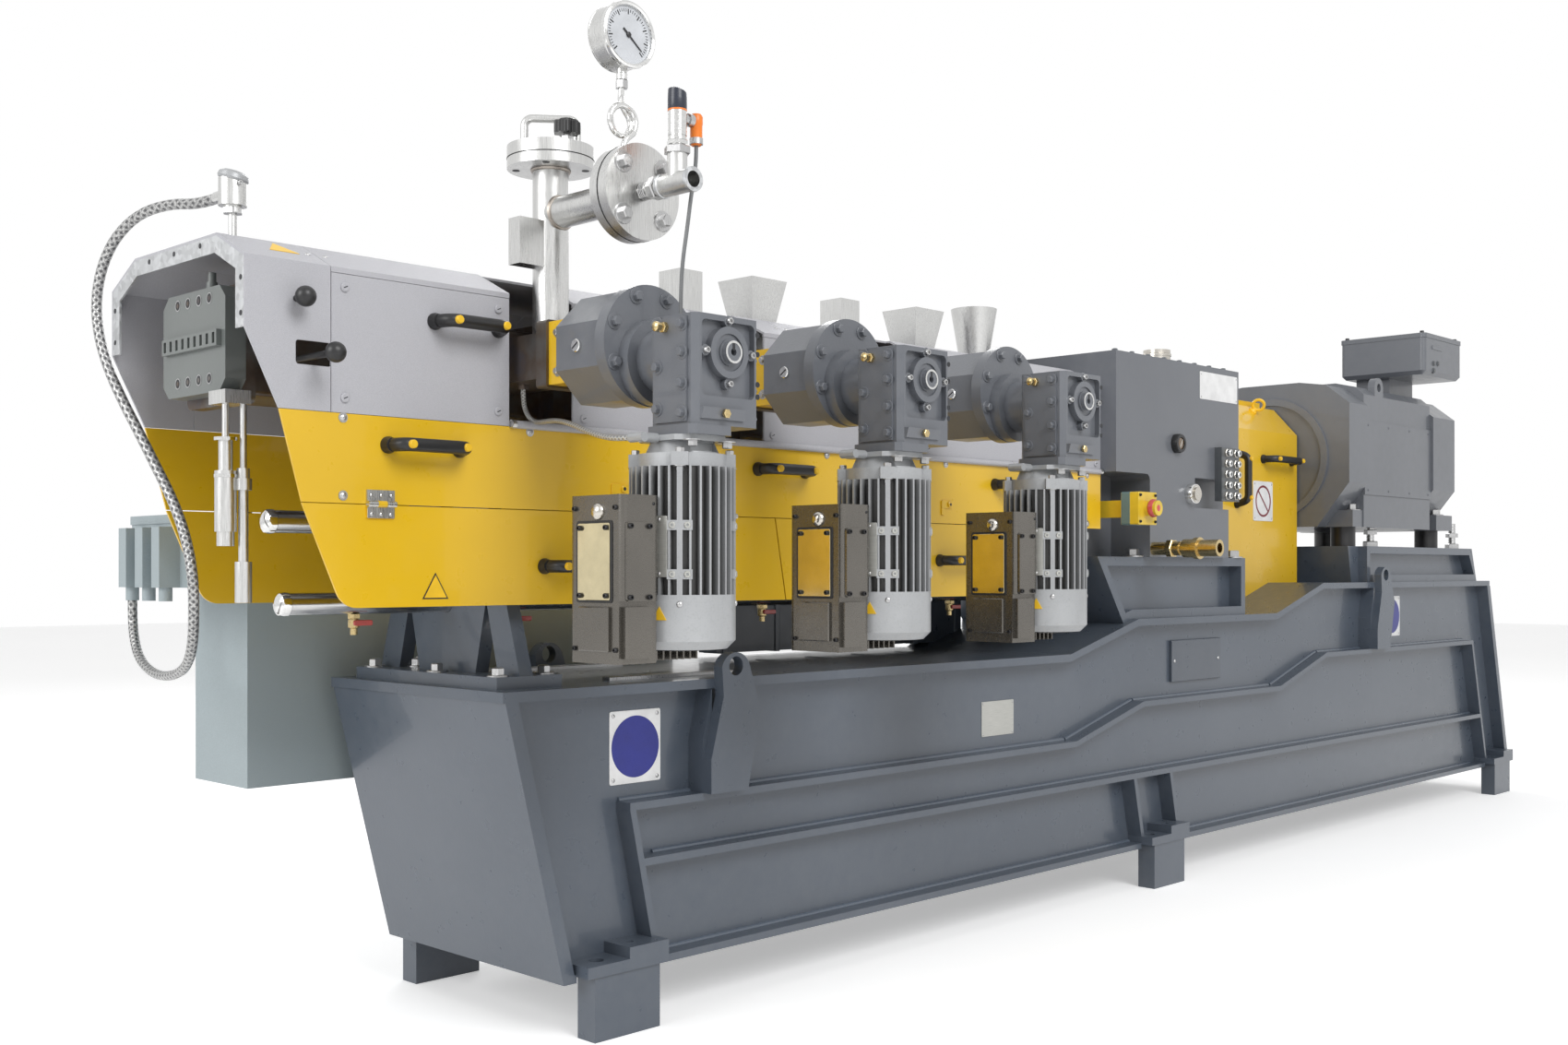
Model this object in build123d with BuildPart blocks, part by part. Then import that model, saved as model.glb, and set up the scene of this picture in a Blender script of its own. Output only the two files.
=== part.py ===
"""Twin-screw plastic extruder with three side feeders, built piece by piece.

The working frame has X along the screws from the die end to the motor, Y to the far side
with the screw line at zero, and Z up from the floor.  At the end every piece is moved so
that the machine stands on the origin, centred on its footprint.
"""
import os
from math import atan2, cos, pi, radians, sin, tan

from build123d import *

os.makedirs("parts", exist_ok=True)

# Screw line and the processing section
SCREW_Z = 1107.0
BARREL_WIDTH = 150.0
BARREL_HEIGHT = 150.0
BARREL_FRONT = 62.0
BARREL_PITCH = 227.0
BARREL_FLANGE = 22.0
BARREL_FLANGE_LIP = 14.0

# Welded base frame
BASE_HALF = 260.0
BASE_BOTTOM = 97.0
WEB_FACE = 222.0
WEB = 12.0
DECK = 17.0
END_PLATE = 25.0
DECK_FRONT = 408.0
DECK_REAR = 4519.0
DECK_LOW = 578.0
DECK_MID = 652.0
DECK_HIGH = 733.0
RISE_1 = (1976.0, 2265.0)
RISE_2 = (2970.0, 3252.0)
FRONT_LEAN = 119.0
REAR_LEAN = 178.0
RIB = 13.0
RIB_DROP = 200.0
RIB_SHIFT = 23.0
RIB_START = 667.0
RIB_END = 4375.0
LOW_RIB_Z = 281.0
STIFFENER_LEAN = 0.236

# Feet
FOOT_X = (571.0, 2294.0, 4498.0)
FOOT_LENGTH = 140.0
FOOT_WIDTH = 45.0
FOOT_OUTER = 285.0
FOOT_HEIGHT = 107.0
PAD_FRONT = 18.0
PAD_REAR = 16.0
PAD_OUTER = 290.0
PAD_LOW = 19.0
PAD_HIGH = 38.0
PAD_STEP = 88.0
ANCHOR_HOLE = 26.0
JACK_HOLE = 14.0

# Lifting lugs on the side webs
LUG_X = (893.0, 3625.0)
LUG_PLATE = 22.0
LUG_HOLE = 34.0

# Front saddle and the two water pipes that pass through it
SADDLE_FRONT = 430.0
SADDLE_REAR = 560.0
SADDLE_HALF = 212.0
SADDLE_SLAB = 20.0
SADDLE_LEG_X = 478.0
SADDLE_LEG = 26.0
PIPE_RADIUS = 18.0
PIPE_CLEARANCE = 0.3
HIGH_PIPE_Z = 846.0
LOW_PIPE_Z = 716.0
HIGH_PIPE_FRONT = 149.0
LOW_PIPE_FRONT = 173.0

# Grey cover over the barrels
COVER_HALF = 221.0
COVER_SHEET = 4.0
HOOD_FLANGE = 24.0
HOOD_FLANGE_SHEET = 3.0
HOOD_SLANT_Z = 1110.0
COVER_BOTTOM = 1000.0
COVER_SHOULDER = 1212.0
COVER_TOP = 1253.0
ROOF_HALF = 136.0
HOOD_END = 133.0
KNOB_RADIUS = 15.0
KNOB_STEM = 5.0
KNOB_OUT = 27.0
KNOB_NEAR = (78.0, 1158.0)
LEVER_SLOT = (77.0, 134.0, 1065.0, 1100.0)
LEVER_BALL = (105.0, 62.0, 1078.0)
SEAM = 0.8
ROOF_LAP = 8.0
ROOF_SEAMS = (740.0, 1113.0, 1345.0, 1602.0, 1840.0)
BAY_HALF = 64.0
BAY_DEPTH = 95.0

# Yellow skirts below the cover
FLAP_TOP = 868.0
FLAP_BOTTOM = 714.0
SKIRT_FRONT_TOP = 52.0
SKIRT_FRONT_BOTTOM = 87.0
FLAP_FRONT_BOTTOM = 152.0
FLAP_SPLIT = 1052.0
FLAP_SLANT = 29.0
FLAP_GAP = 1.5
FLAP_END_GAP = 60.0
FLAP_SEAM = 3.0
HINGE_Y = 226.3
HINGE_LENGTH = 47.0
HINGE_HEIGHT = 21.0
HINGE_LEAF = 3.0
KNUCKLE_RADIUS = 5.0
PIN_RADIUS = 2.5
PIN_CLEARANCE = 0.3
HINGE_X = (190.0, 900.0, 1250.0, 1960.0)

# Side feeders
FEEDER_X = (512.0, 960.0, 1420.0)
FEEDER_BLOCK_HALF = 55.0
FEEDER_BLOCK_HEIGHT = 72.0
FEEDER_BLOCK_END = 320.0
FEEDER_FLANGE = 26.0
GUARD_RING = (12.0, 26.0)
GUARD_SHEET = 3.0
COUPLING_LENGTH = 46.0
LANTERN_RADIUS = 82.0
LANTERN_NEAR = 470.0
LANTERN_FLANGE = 22.0
LANTERN_LIP = 10.0
FEEDER_DROP = 26.0
GEARBOX_NEAR = 660.0
GEARBOX_FAR = 561.0
GEARBOX_TOP = 1133.0
GEARBOX_BOTTOM = 976.0
GEARBOX_WIDTH = 130.0
GEARBOX_CHAMFER = 9.0
GEARBOX_WALL = 8.0
GEAR_POCKET = 10.0
GEAR_POCKET_HEIGHT = 108.0
BEARING_RADIUS = 37.0
BEARING_PROUD = 3.0
EAR_RING = 45.0
EAR_RADIUS = 8.0
HUB_RADIUS = 16.0
HUB_PROUD = 11.0
GEAR_FLANGE = 14.0
GEAR_FLANGE_SIZE = (84.0, 103.0)
GEAR_PAD = 9.0
SIDE_PLATE = 3.0
GEAR_GLAND = (20.0, 536.0)
CABLE_GLAND = (-23.0, -202.0)
CABLE_GLAND_STEPS = ((9.0, 8.0),)
ELBOW_REACH = 31.0
GLAND_RADIUS = 7.0
GLAND_TOP = 1140.0
MOTOR_AXIS_X = -30.0
MOTOR_AXIS_Y = 595.0
MOTOR_CORE = 62.0
MOTOR_FIN = 77.0
FIN_COUNT = 32
FIN_THICK = 3.0
COWL_BOTTOM = 657.0
FINS_BOTTOM = 735.0
FINS_TOP = 917.0
ADAPTER_PLATE = 8.0
BELL_HEIGHT = 18.0
BELL_RADIUS = 50.0
LUG_WIDTH = 24.0
PAD_LEVELS = (764.0, 833.0)
MOTOR_PAD = (16.0, 36.0, 14.0)
SEAM_BAR = 8.0
COWL_CHAMFER = 12.0
INVERTER_NEAR = 634.0
INVERTER_FAR = 517.0
INVERTER_FRONT = -175.0
INVERTER_REAR = -107.0
INVERTER_BOTTOM = 640.0
INVERTER_TOP = 874.0
INVERTER_CORNER = 10.0
LID_X = (-170.0, -126.0)
LID_Z = (727.0, 836.0)
LID_THICK = 4.0
SINK_FINS = 9
SINK_PITCH = 13.0
SINK_FIN = 3.0
SINK_FAR = 470.0
SINK_TOP = 735.0
SINK_NECK = (50.0, 90.0)

# Vent stack above the first feeder
STACK_Y = 245.0
STACK_RADIUS = 29.0
STACK_WALL = 3.0
STACK_FLANGE = 16.0
BRANCH_FLANGE = 18.0
SIPHON_BOSS = (9.0, 10.0)
SIPHON_NUT = (8.5, 18.0)
GAUGE_NUT = (8.0, 14.0)
GAUGE_RIM = (6.0, 3.0)
NIPPLE_RADIUS = 13.0
COLLAR = 2.0
STACK_TOP = 1431.0
FLANGE_RADIUS = 70.0
BRANCH_Z = 1343.0
BRANCH_END = 453.0
PIPE_FLANGE_RADIUS = 73.0
BRANCH_RADIUS = 25.0
BLIND_FLANGE = 20.0
TEE_FAR = 515.0
TEE_NEAR = 586.0
TEE_RADIUS = 17.0
TEE_BORE = 12.0
SENSOR_BOTTOM = 1392.0
SENSOR_TOP = 1487.0
SENSOR_RADIUS = 14.0
GAUGE_Y = 423.0
GAUGE_Z = 1589.0
GAUGE_RADIUS = 50.0
GAUGE_CASE = 36.0
SIPHON_RADIUS = 5.0
SIPHON_LOOP = 24.0
LID_HANDLE = 42.0
LID_HANDLE_RISE = 48.0
LID_HANDLE_RADIUS = 6.5
STACK_BOX = (48.0, 30.0, 74.0)
STACK_BOX_Z = 1255.0
LID_THICKNESS = 20.0
LID_HANDLE_TURN = -40.0
PLUG_X = 38.0
PLUG_SIZE = 12.0
PLUG_Z = (1405.0, 1452.0)

# Feed inlets on the roof
TUBE_X = (1015.0, 1478.0)
FUNNEL_X = (1212.0, 1727.0)
CONE_X = 1954.0
INLET = 60.0
INLET_WALL = 3.0
TUBE_HEIGHT = 100.0
FUNNEL_HEIGHT = 106.0
FUNNEL_TOP = 100.0
CONE_BOTTOM = 32.0
CONE_TOP = 55.0
CONE_HEIGHT = 137.0

# Gear housing, pedestal, guard and motor
HOUSING_FRONT = 2157.0
HOUSING_LENGTH = 590.0
HOUSING_HALF = 264.0
HOUSING_BOTTOM = 802.0
HOUSING_TOP = 1290.0
GUARD_GAP = 10.0
GUARD_LENGTH = 677.0
GUARD_HALF = 90.0
GUARD_CHAMFER = 75.0
GUARD_SHOULDER = 1176.0
GUARD_TOP = 1258.0
GUARD_RIDGE = (30.0, 14.0, 90.0)
MOTOR_LENGTH = 853.0
MOTOR_BELL = 133.0
MOTOR_REAR_BELL = 226.0
MOTOR_REAR_TAPER = 50.0
MOTOR_HALF = 250.0
MOTOR_BODY_HALF = 238.0
MOTOR_BOTTOM = 900.0
MOTOR_TOP = 1340.0
MOTOR_COVER_Z = (998.0, 1222.0)
MOTOR_COVER = 4.0
MOTOR_RING = (185.0, 165.0, 8.0)
MOTOR_RING_Z = 1107.0
MOTOR_FOOT_HEIGHT = 50.0
MOTOR_TAPER_SCALE = 0.86
MOTOR_FOOT_LENGTH = 130.0
MOTOR_FOOT_Y = (125.0, 235.0)
MOUNT_Y = 175.0
MOUNT_INSET = (129.0, 99.0)
EAR_X = 241.0
EAR_Z = 1328.0
EAR_OUTER = 30.0
EAR_HOLE = 26.0
EAR_THICK = 22.0
TERMINAL_BOX = (295.0, 275.0)
TERMINAL_BOX_INSET = 626.0
TERMINAL_BOX_Y = 145.0
TERMINAL_BOX_BOTTOM = 1390.0
TERMINAL_BOX_TOP = 1520.0
TERMINAL_LID = 14.0
TERMINAL_CHAMFER = 12.0
TERMINAL_NECK = (180.0, 110.0)
TERMINAL_NECK_Y = 90.0
MOUNT_RADIUS = 36.0
MOTOR_BASE_TOP = 842.0
MOTOR_BASE_INSET = 75.0
MOTOR_BASE_LENGTH = 895.0
MOTOR_BASE_NOTCH = (71.0, 28.0)
MOTOR_BASE_TOE = (23.0, 42.0)

# Cabinet and connector box on the far side
CABINET_FRONT = 277.0
CABINET_LENGTH = 1000.0
CABINET_NEAR = 317.0
CABINET_FAR = 517.0
CABINET_BOTTOM = 385.0
CABINET_TOP = 735.0
BRACKET = (60.0, 10.0)
BRACKET_SHARES = (0.3, 0.85)
CONNECTOR_FRONT = 150.0
CONNECTOR_REAR = 400.0
CONNECTOR_Y = (237.0, 500.0)
CONNECTOR_TOP = 865.0
CONNECTOR_LID = 15.0
CONNECTOR_GAP = 5.0
SOCKET_Y = (321.0, 386.0, 452.0)
SOCKET = (36.0, 30.0, 103.0)
SOCKET_GLAND = 11.0
SOCKET_GLAND_END = 717.0

# Die head, probes under it and the probe head on the hood
DIE_WIDTH = 204.0
DIE_HEIGHT = 156.0
DIE_RISE = 4.0
DIE_CHAMFER = 18.0
DIE_DEPTH = 32.0
DIE_BAND = (180.0, 24.0, 8.0)
DIE_SLOTS = 9
PROBE_BLOCK = (22.0, 62.0, -118.0, -66.0, 20.0)
TRANSDUCER = (32.0, -99.0)
TRANSDUCER_STEPS = ((5.0, 54.0), (10.0, 44.0), (15.5, 89.0), (12.5, 21.0))
PROBE_ROD = (54.0, -110.0)
PROBE_ROD_STEPS = ((4.75, 94.0), (9.0, 15.0), (12.0, 17.0), (7.0, 105.0), (12.0, 60.0))
DIE_GLAND = (40.0, -40.0)
DIE_GLAND_STEPS = ((8.0, 10.0), (6.0, 14.0))
HEAD = (30.0, -125.0)
HEAD_STEPS = ((6.0, 34.0), (13.0, 10.0), (20.0, 40.0))
HEAD_GLAND_Z = 1317.0
HEAD_GLAND = (9.0, 49.0)

# Flexible lines: diameter and the points of the route
HOSE = 16.0
HOSE_ROUTE = (
    (30, -76, 1317), (30, -20, 1317), (22, 62, 1330), (8, 140, 1325), (-2, 205, 1296), (-7, 246, 1252),
    (-9, 262, 1200), (-7, 256, 1146), (-2, 232, 1092), (6, 196, 1038), (14, 152, 984), (20, 106, 930),
    (24, 62, 882), (26, 28, 836), (29, 10, 792), (33, 6, 746), (39, 18, 702), (52, 48, 662),
    (70, 98, 630), (88, 162, 608), (100, 230, 596), (110, 298, 593), (118, 359, 601), (124, 408, 619),
    (129, 438, 648), (132, 452, 681), (132, 452, 717),
)
SENSOR_CABLE = 6.0
SENSOR_ROUTE = (
    (550, -550.5, 1405), (550, -550.5, 1375), (541, -549, 1330), (535, -547, 1280), (530, -542, 1230),
    (532, -536, 1185), (532, -536, 1140),
)
MOTOR_CABLE = 8.0
MOTOR_ROUTE = (
    (404, -572, 958), (404, -540, 958), (414, -490, 966), (432, -430, 980), (454, -370, 995),
    (473, -312, 1005), (485, -270, 1007), (489, -235, 1007), (489, -214, 1019), (489, -202, 1040),
    (489, -202, 1063),
)

# Fittings on the gear housing
RECESS_TOP = 1003.0
RECESS_DEPTH = 110.0
RECESS_REAR = 151.0
RECESS_ROUND = 16.0
NOTCH = (365.0, 537.0)
NOTCH_Z = (927.0, 1003.0)
NOTCH_DEPTH = 45.0
SIGHT_GLASS = (273.0, 1084.0, 22.0, 14.0)
FILLER = (340.0, 961.0, 24.0, 18.0)
MANIFOLD = (465.0, 556.0, 947.0, 1085.0)
MANIFOLD_DEPTH = 20.0
PORT = (8.0, 14.0)
PORT_ROWS = 5
BREATHER = (323.0, -180.0, 34.0, 38.0)
STOP_BOX = (82.0, 46.0, 77.0)
STOP_BOX_Y = 277.0
STOP_BOX_Z = 915.0
STOP_STUB = 40.0
STOP_BUTTON = (18.0, 30.0)
VALVE_X = 168.0
VALVE_Z = 822.0
VALVE_STEPS = (
    (16.0, 40.0), (12.0, 12.0), (17.0, 22.0), (13.0, 10.0), (22.0, 30.0), (26.0, 12.0), (20.0, 51.0),
)
VALVE_BORE = 12.0

PIPE_END_GAP = 90.0
PEDESTAL_OVERHANG = (47.0, 76.0)
PEDESTAL_TOE = 2223.0
PEDESTAL_POCKET = 35.0
PEDESTAL_RIM = 22.0
PEDESTAL_HALF = 243.0

# Gap between round faces that seat on each other, and the share of a run that an arc takes
SEAT = 0.3
ARC_SHARE = 0.45

# Values that follow from the sizes above
HOUSING_REAR = HOUSING_FRONT + HOUSING_LENGTH
PEDESTAL_FRONT = HOUSING_FRONT - PEDESTAL_OVERHANG[0]
PEDESTAL_REAR = HOUSING_REAR + PEDESTAL_OVERHANG[1]
GUARD_FRONT = HOUSING_REAR + GUARD_GAP
GUARD_REAR = GUARD_FRONT + GUARD_LENGTH
MOTOR_FRONT = GUARD_REAR
MOTOR_REAR = MOTOR_FRONT + MOTOR_LENGTH
MOTOR_BASE_FRONT = MOTOR_FRONT + MOTOR_BASE_INSET
MOTOR_BASE_REAR = MOTOR_BASE_FRONT + MOTOR_BASE_LENGTH
ROOF_EDGE = COVER_SHOULDER - ROOF_LAP
COVER_END = HOUSING_FRONT
INLET_FLOOR = SCREW_Z + BARREL_HEIGHT / 2 + BARREL_FLANGE_LIP
PIECES = {}


def keep(name, piece):
    """Collect one finished piece under its node name."""
    piece.label = name
    PIECES[name] = piece


def stepped(centre, start, steps, side):
    """Cylinders one after another along Z, up (side 1) or down (side -1), as one piece."""
    with BuildPart() as turned:
        z = start
        for radius, length in steps:
            with BuildSketch(Plane.XY.offset(z)):
                with Locations(centre):
                    Circle(radius)
            extrude(amount=side * length)
            z += side * length
    return turned.part


def deck_points():
    """Top line of the deck from front to rear, as (x, z) points."""
    return [
        (DECK_FRONT, DECK_LOW),
        (RISE_1[0], DECK_LOW),
        (RISE_1[1], DECK_MID),
        (RISE_2[0], DECK_MID),
        (RISE_2[1], DECK_HIGH),
        (DECK_REAR, DECK_HIGH),
    ]


def band(points, thickness):
    """Outline of a flat strip whose top edge runs through the points."""
    lower = [(x, z - thickness) for x, z in reversed(points)]
    return points + lower


def front_x(z):
    """Front face of the base at height z."""
    return DECK_FRONT + FRONT_LEAN * (DECK_LOW - z) / (DECK_LOW - BASE_BOTTOM)


def rear_x(z):
    """Rear face of the base at height z."""
    return DECK_REAR + REAR_LEAN * (DECK_HIGH - z) / (DECK_HIGH - BASE_BOTTOM)


def base_frame():
    """Deck, end plates and the two side beams with their ribs and stiffeners."""
    with BuildPart() as deck:
        with BuildSketch(Plane.XZ.offset(-BASE_HALF)):
            Polygon(*band(deck_points(), DECK), align=None)
        extrude(amount=2 * BASE_HALF)
    keep("base_deck", deck.part)

    top_front, top_rear = DECK_LOW - DECK, DECK_HIGH - DECK
    with BuildPart() as plates:
        with BuildSketch(Plane.XZ.offset(-BASE_HALF)):
            Polygon(
                (front_x(top_front), top_front),
                (front_x(top_front) + END_PLATE, top_front),
                (front_x(BASE_BOTTOM) + END_PLATE, BASE_BOTTOM),
                (front_x(BASE_BOTTOM), BASE_BOTTOM),
                align=None,
            )
            Polygon(
                (rear_x(top_rear) - END_PLATE, top_rear),
                (rear_x(top_rear), top_rear),
                (rear_x(BASE_BOTTOM), BASE_BOTTOM),
                (rear_x(BASE_BOTTOM) - END_PLATE, BASE_BOTTOM),
                align=None,
            )
        extrude(amount=2 * BASE_HALF)
    keep("base_end_plates", plates.part)

    under = [(x, z - DECK) for x, z in deck_points()]
    under[0] = (front_x(top_front) + END_PLATE, top_front)
    under[-1] = (rear_x(top_rear) - END_PLATE, top_rear)
    web_outline = under + [
        (rear_x(BASE_BOTTOM) - END_PLATE, BASE_BOTTOM),
        (front_x(BASE_BOTTOM) + END_PLATE, BASE_BOTTOM),
    ]
    upper = [(x + RIB_SHIFT, z - RIB_DROP) for x, z in deck_points()[1:-1]]
    upper = [(RIB_START, upper[0][1])] + upper + [(RIB_END, upper[-1][1])]
    pad_low, pad_high = FOOT_HEIGHT + PAD_LOW, FOOT_HEIGHT + PAD_HIGH
    pad_start = [x - PAD_FRONT for x in FOOT_X]
    pad_end = [x + FOOT_LENGTH + PAD_REAR - RIB for x in FOOT_X]
    drop = LOW_RIB_Z - RIB
    stiffeners = [
        (RIB_START, upper[0][1] - RIB, pad_end[0], pad_high),
        (pad_start[1] - STIFFENER_LEAN * (drop - pad_low), drop, pad_start[1], pad_low),
        (pad_end[1] - STIFFENER_LEAN * (drop - pad_high), drop, pad_end[1], pad_high),
        (RIB_END - RIB, upper[-1][1] - RIB, pad_start[2], pad_low),
    ]
    low_rib = []
    for top_x, top_z, bottom_x, bottom_z in (stiffeners[0], stiffeners[-1]):
        lean = (bottom_x - top_x) / (top_z - bottom_z)
        low_rib.append((top_x + RIB / 2 + lean * (top_z - LOW_RIB_Z), LOW_RIB_Z))
    rib_out = BASE_HALF - WEB_FACE
    with BuildPart() as beam:
        with BuildSketch(Plane.XZ.offset(WEB_FACE - WEB)):
            Polygon(*web_outline, align=None)
        extrude(amount=WEB)
        with BuildSketch(Plane.XZ.offset(WEB_FACE)):
            Polygon(*band(upper, RIB), align=None)
            Polygon(*band(low_rib, RIB), align=None)
            Polygon(
                (front_x(BASE_BOTTOM) + END_PLATE, BASE_BOTTOM),
                (rear_x(BASE_BOTTOM) - END_PLATE, BASE_BOTTOM),
                (rear_x(BASE_BOTTOM + RIB) - END_PLATE, BASE_BOTTOM + RIB),
                (front_x(BASE_BOTTOM + RIB) + END_PLATE, BASE_BOTTOM + RIB),
                align=None,
            )
            for top_x, top_z, bottom_x, bottom_z in stiffeners:
                Polygon(
                    (top_x, top_z),
                    (top_x + RIB, top_z),
                    (bottom_x + RIB, bottom_z),
                    (bottom_x, bottom_z),
                    align=None,
                )
        extrude(amount=rib_out)
        for x in FOOT_X:
            with BuildSketch(Plane.XY.offset(BASE_BOTTOM)):
                with Locations(((2 * x + FOOT_LENGTH + PAD_REAR - PAD_FRONT) / 2, -PAD_OUTER)):
                    Rectangle(FOOT_LENGTH + PAD_FRONT + PAD_REAR, 2 * (PAD_OUTER - WEB_FACE))
            extrude(amount=FOOT_HEIGHT + PAD_LOW - BASE_BOTTOM, mode=Mode.SUBTRACT)
    keep("side_beam_near", beam.part)
    keep("side_beam_far", mirror(beam.part, about=Plane.XZ))


def feet():
    """Stepped anchor pads and the solid foot blocks below them, three a side."""
    with BuildPart() as pads:
        for x in FOOT_X:
            x0, x1 = x - PAD_FRONT, x + FOOT_LENGTH + PAD_REAR
            with BuildSketch(Plane.XZ.offset(WEB_FACE)):
                Polygon(
                    (x0, FOOT_HEIGHT),
                    (x1, FOOT_HEIGHT),
                    (x1, FOOT_HEIGHT + PAD_HIGH),
                    (x0 + PAD_STEP, FOOT_HEIGHT + PAD_HIGH),
                    (x0 + PAD_STEP, FOOT_HEIGHT + PAD_LOW),
                    (x0, FOOT_HEIGHT + PAD_LOW),
                    align=None,
                )
            extrude(amount=PAD_OUTER - WEB_FACE)
            hole_y = -(WEB_FACE + PAD_OUTER) / 2
            with Locations((x0 + PAD_STEP / 2, hole_y, FOOT_HEIGHT + PAD_LOW)):
                Hole(ANCHOR_HOLE / 2, PAD_LOW)
            with Locations((x0 + PAD_STEP + 28.0, hole_y, FOOT_HEIGHT + PAD_HIGH)):
                Hole(JACK_HOLE / 2, PAD_HIGH)
        mirror(about=Plane.XZ)
    keep("foot_pads", pads.part)

    with BuildPart() as blocks:
        for x in FOOT_X:
            with BuildSketch(Plane.XY):
                with Locations((x + FOOT_LENGTH / 2, -(FOOT_OUTER - FOOT_WIDTH / 2))):
                    Rectangle(FOOT_LENGTH, FOOT_WIDTH)
            extrude(amount=FOOT_HEIGHT)
        mirror(about=Plane.XZ)
    keep("foot_blocks", blocks.part)


def lifting_lugs():
    """Lifting plates with a folded gusset, two a side, standing on the upper rib."""
    with BuildPart() as lugs:
        for x, deck, rib in (
            (LUG_X[0], DECK_LOW, DECK_LOW - RIB_DROP),
            (LUG_X[1], DECK_HIGH, DECK_HIGH - RIB_DROP),
        ):
            with BuildSketch(Plane.XZ.offset(BASE_HALF)):
                with BuildLine():
                    Polyline(
                        (x - 60.0, rib),
                        (x - 60.0, rib + 60.0),
                        (x - 30.0, deck - 30.0),
                        (x - 34.0, deck + 22.0),
                    )
                    RadiusArc((x - 34.0, deck + 22.0), (x + 34.0, deck + 22.0), 36.0)
                    Polyline(
                        (x + 34.0, deck + 22.0),
                        (x + 62.0, deck - 60.0),
                        (x + 30.0, rib),
                        (x - 60.0, rib),
                    )
                make_face()
            extrude(amount=LUG_PLATE)
            with BuildSketch(Plane.XZ.offset(WEB_FACE)):
                Polygon(
                    (x - 60.0, rib),
                    (x - 38.0, rib),
                    (x - 38.0, deck - DECK),
                    (x - 60.0, deck - DECK - 90.0),
                    align=None,
                )
            extrude(amount=BASE_HALF - WEB_FACE)
            with Locations(Plane.XZ.offset(BASE_HALF + LUG_PLATE)):
                with Locations((x, deck + 22.0)):
                    Hole(LUG_HOLE / 2, LUG_PLATE)
        mirror(about=Plane.XZ)
    keep("lifting_lugs", lugs.part)


def front_saddle():
    """Bolted slab on the deck with three legs that carry the die end of the barrels."""
    seat = SCREW_Z - BARREL_HEIGHT / 2
    foot = DECK_LOW + SADDLE_SLAB
    slot = PIPE_RADIUS + PIPE_CLEARANCE
    with BuildPart() as saddle:
        with BuildSketch(Plane.XY.offset(DECK_LOW)):
            with Locations(((SADDLE_FRONT + SADDLE_REAR) / 2, 0)):
                Rectangle(SADDLE_REAR - SADDLE_FRONT, 2 * SADDLE_HALF)
        extrude(amount=SADDLE_SLAB)
        with BuildSketch(Plane.YZ.offset(SADDLE_LEG_X)):
            Polygon((-84.0, foot), (84.0, foot), (118.0, 735.0), (60.0, seat), (-60.0, seat),
                    (-118.0, 735.0), align=None)
            with Locations((0, (LOW_PIPE_Z + seat) / 2)):
                Rectangle(2 * slot, seat - LOW_PIPE_Z, mode=Mode.SUBTRACT)
            with Locations((0, LOW_PIPE_Z)):
                Circle(slot, mode=Mode.SUBTRACT)
            for side in (-1, 1):
                Polygon(
                    (side * 208.0, foot),
                    (side * 148.0, foot),
                    (side * 30.0, seat),
                    (side * 70.0, seat),
                    align=None,
                )
            with Locations((0, (LOW_PIPE_Z + seat) / 2)):
                Rectangle(2 * slot, seat - LOW_PIPE_Z, mode=Mode.SUBTRACT)
        extrude(amount=SADDLE_LEG)
    keep("front_saddle", saddle.part)


def barrels():
    """Flanged barrel blocks in a row from the die to the gear housing."""
    with BuildPart() as line:
        with BuildSketch(Plane.YZ.offset(BARREL_FRONT)):
            with Locations((0, SCREW_Z)):
                RectangleRounded(BARREL_WIDTH, BARREL_HEIGHT, 8.0)
        extrude(amount=HOUSING_FRONT - BARREL_FRONT)
        joints = [FEEDER_X[0] + (k + 0.5) * BARREL_PITCH - BARREL_FLANGE / 2 for k in range(-1, 7)]
        for x in [BARREL_FRONT] + joints:
            with BuildSketch(Plane.YZ.offset(x)):
                with Locations((0, SCREW_Z)):
                    RectangleRounded(
                        BARREL_WIDTH + 2 * BARREL_FLANGE_LIP, BARREL_HEIGHT + 2 * BARREL_FLANGE_LIP, 12.0
                    )
            extrude(amount=BARREL_FLANGE)
    keep("barrel_line", line.part)

    centre_z = SCREW_Z + DIE_RISE
    front = BARREL_FRONT - DIE_DEPTH
    with BuildPart() as die:
        with BuildSketch(Plane.YZ.offset(front)):
            with Locations((0, centre_z)):
                face = Rectangle(DIE_WIDTH, DIE_HEIGHT)
            chamfer(face.vertices(), DIE_CHAMFER)
        extrude(amount=DIE_DEPTH)
        with BuildSketch(Plane.YZ.offset(front)):
            with Locations((0, centre_z)):
                Rectangle(*DIE_BAND[:2])
                with GridLocations(DIE_BAND[0] / DIE_SLOTS, 1.0, DIE_SLOTS, 1):
                    Rectangle(DIE_BAND[2], DIE_BAND[1] - DIE_BAND[2], mode=Mode.SUBTRACT)
        extrude(amount=-DIE_BAND[2])
        add(stepped(DIE_GLAND, centre_z + DIE_HEIGHT / 2, DIE_GLAND_STEPS, 1))
    keep("die_head", die.part)


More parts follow.
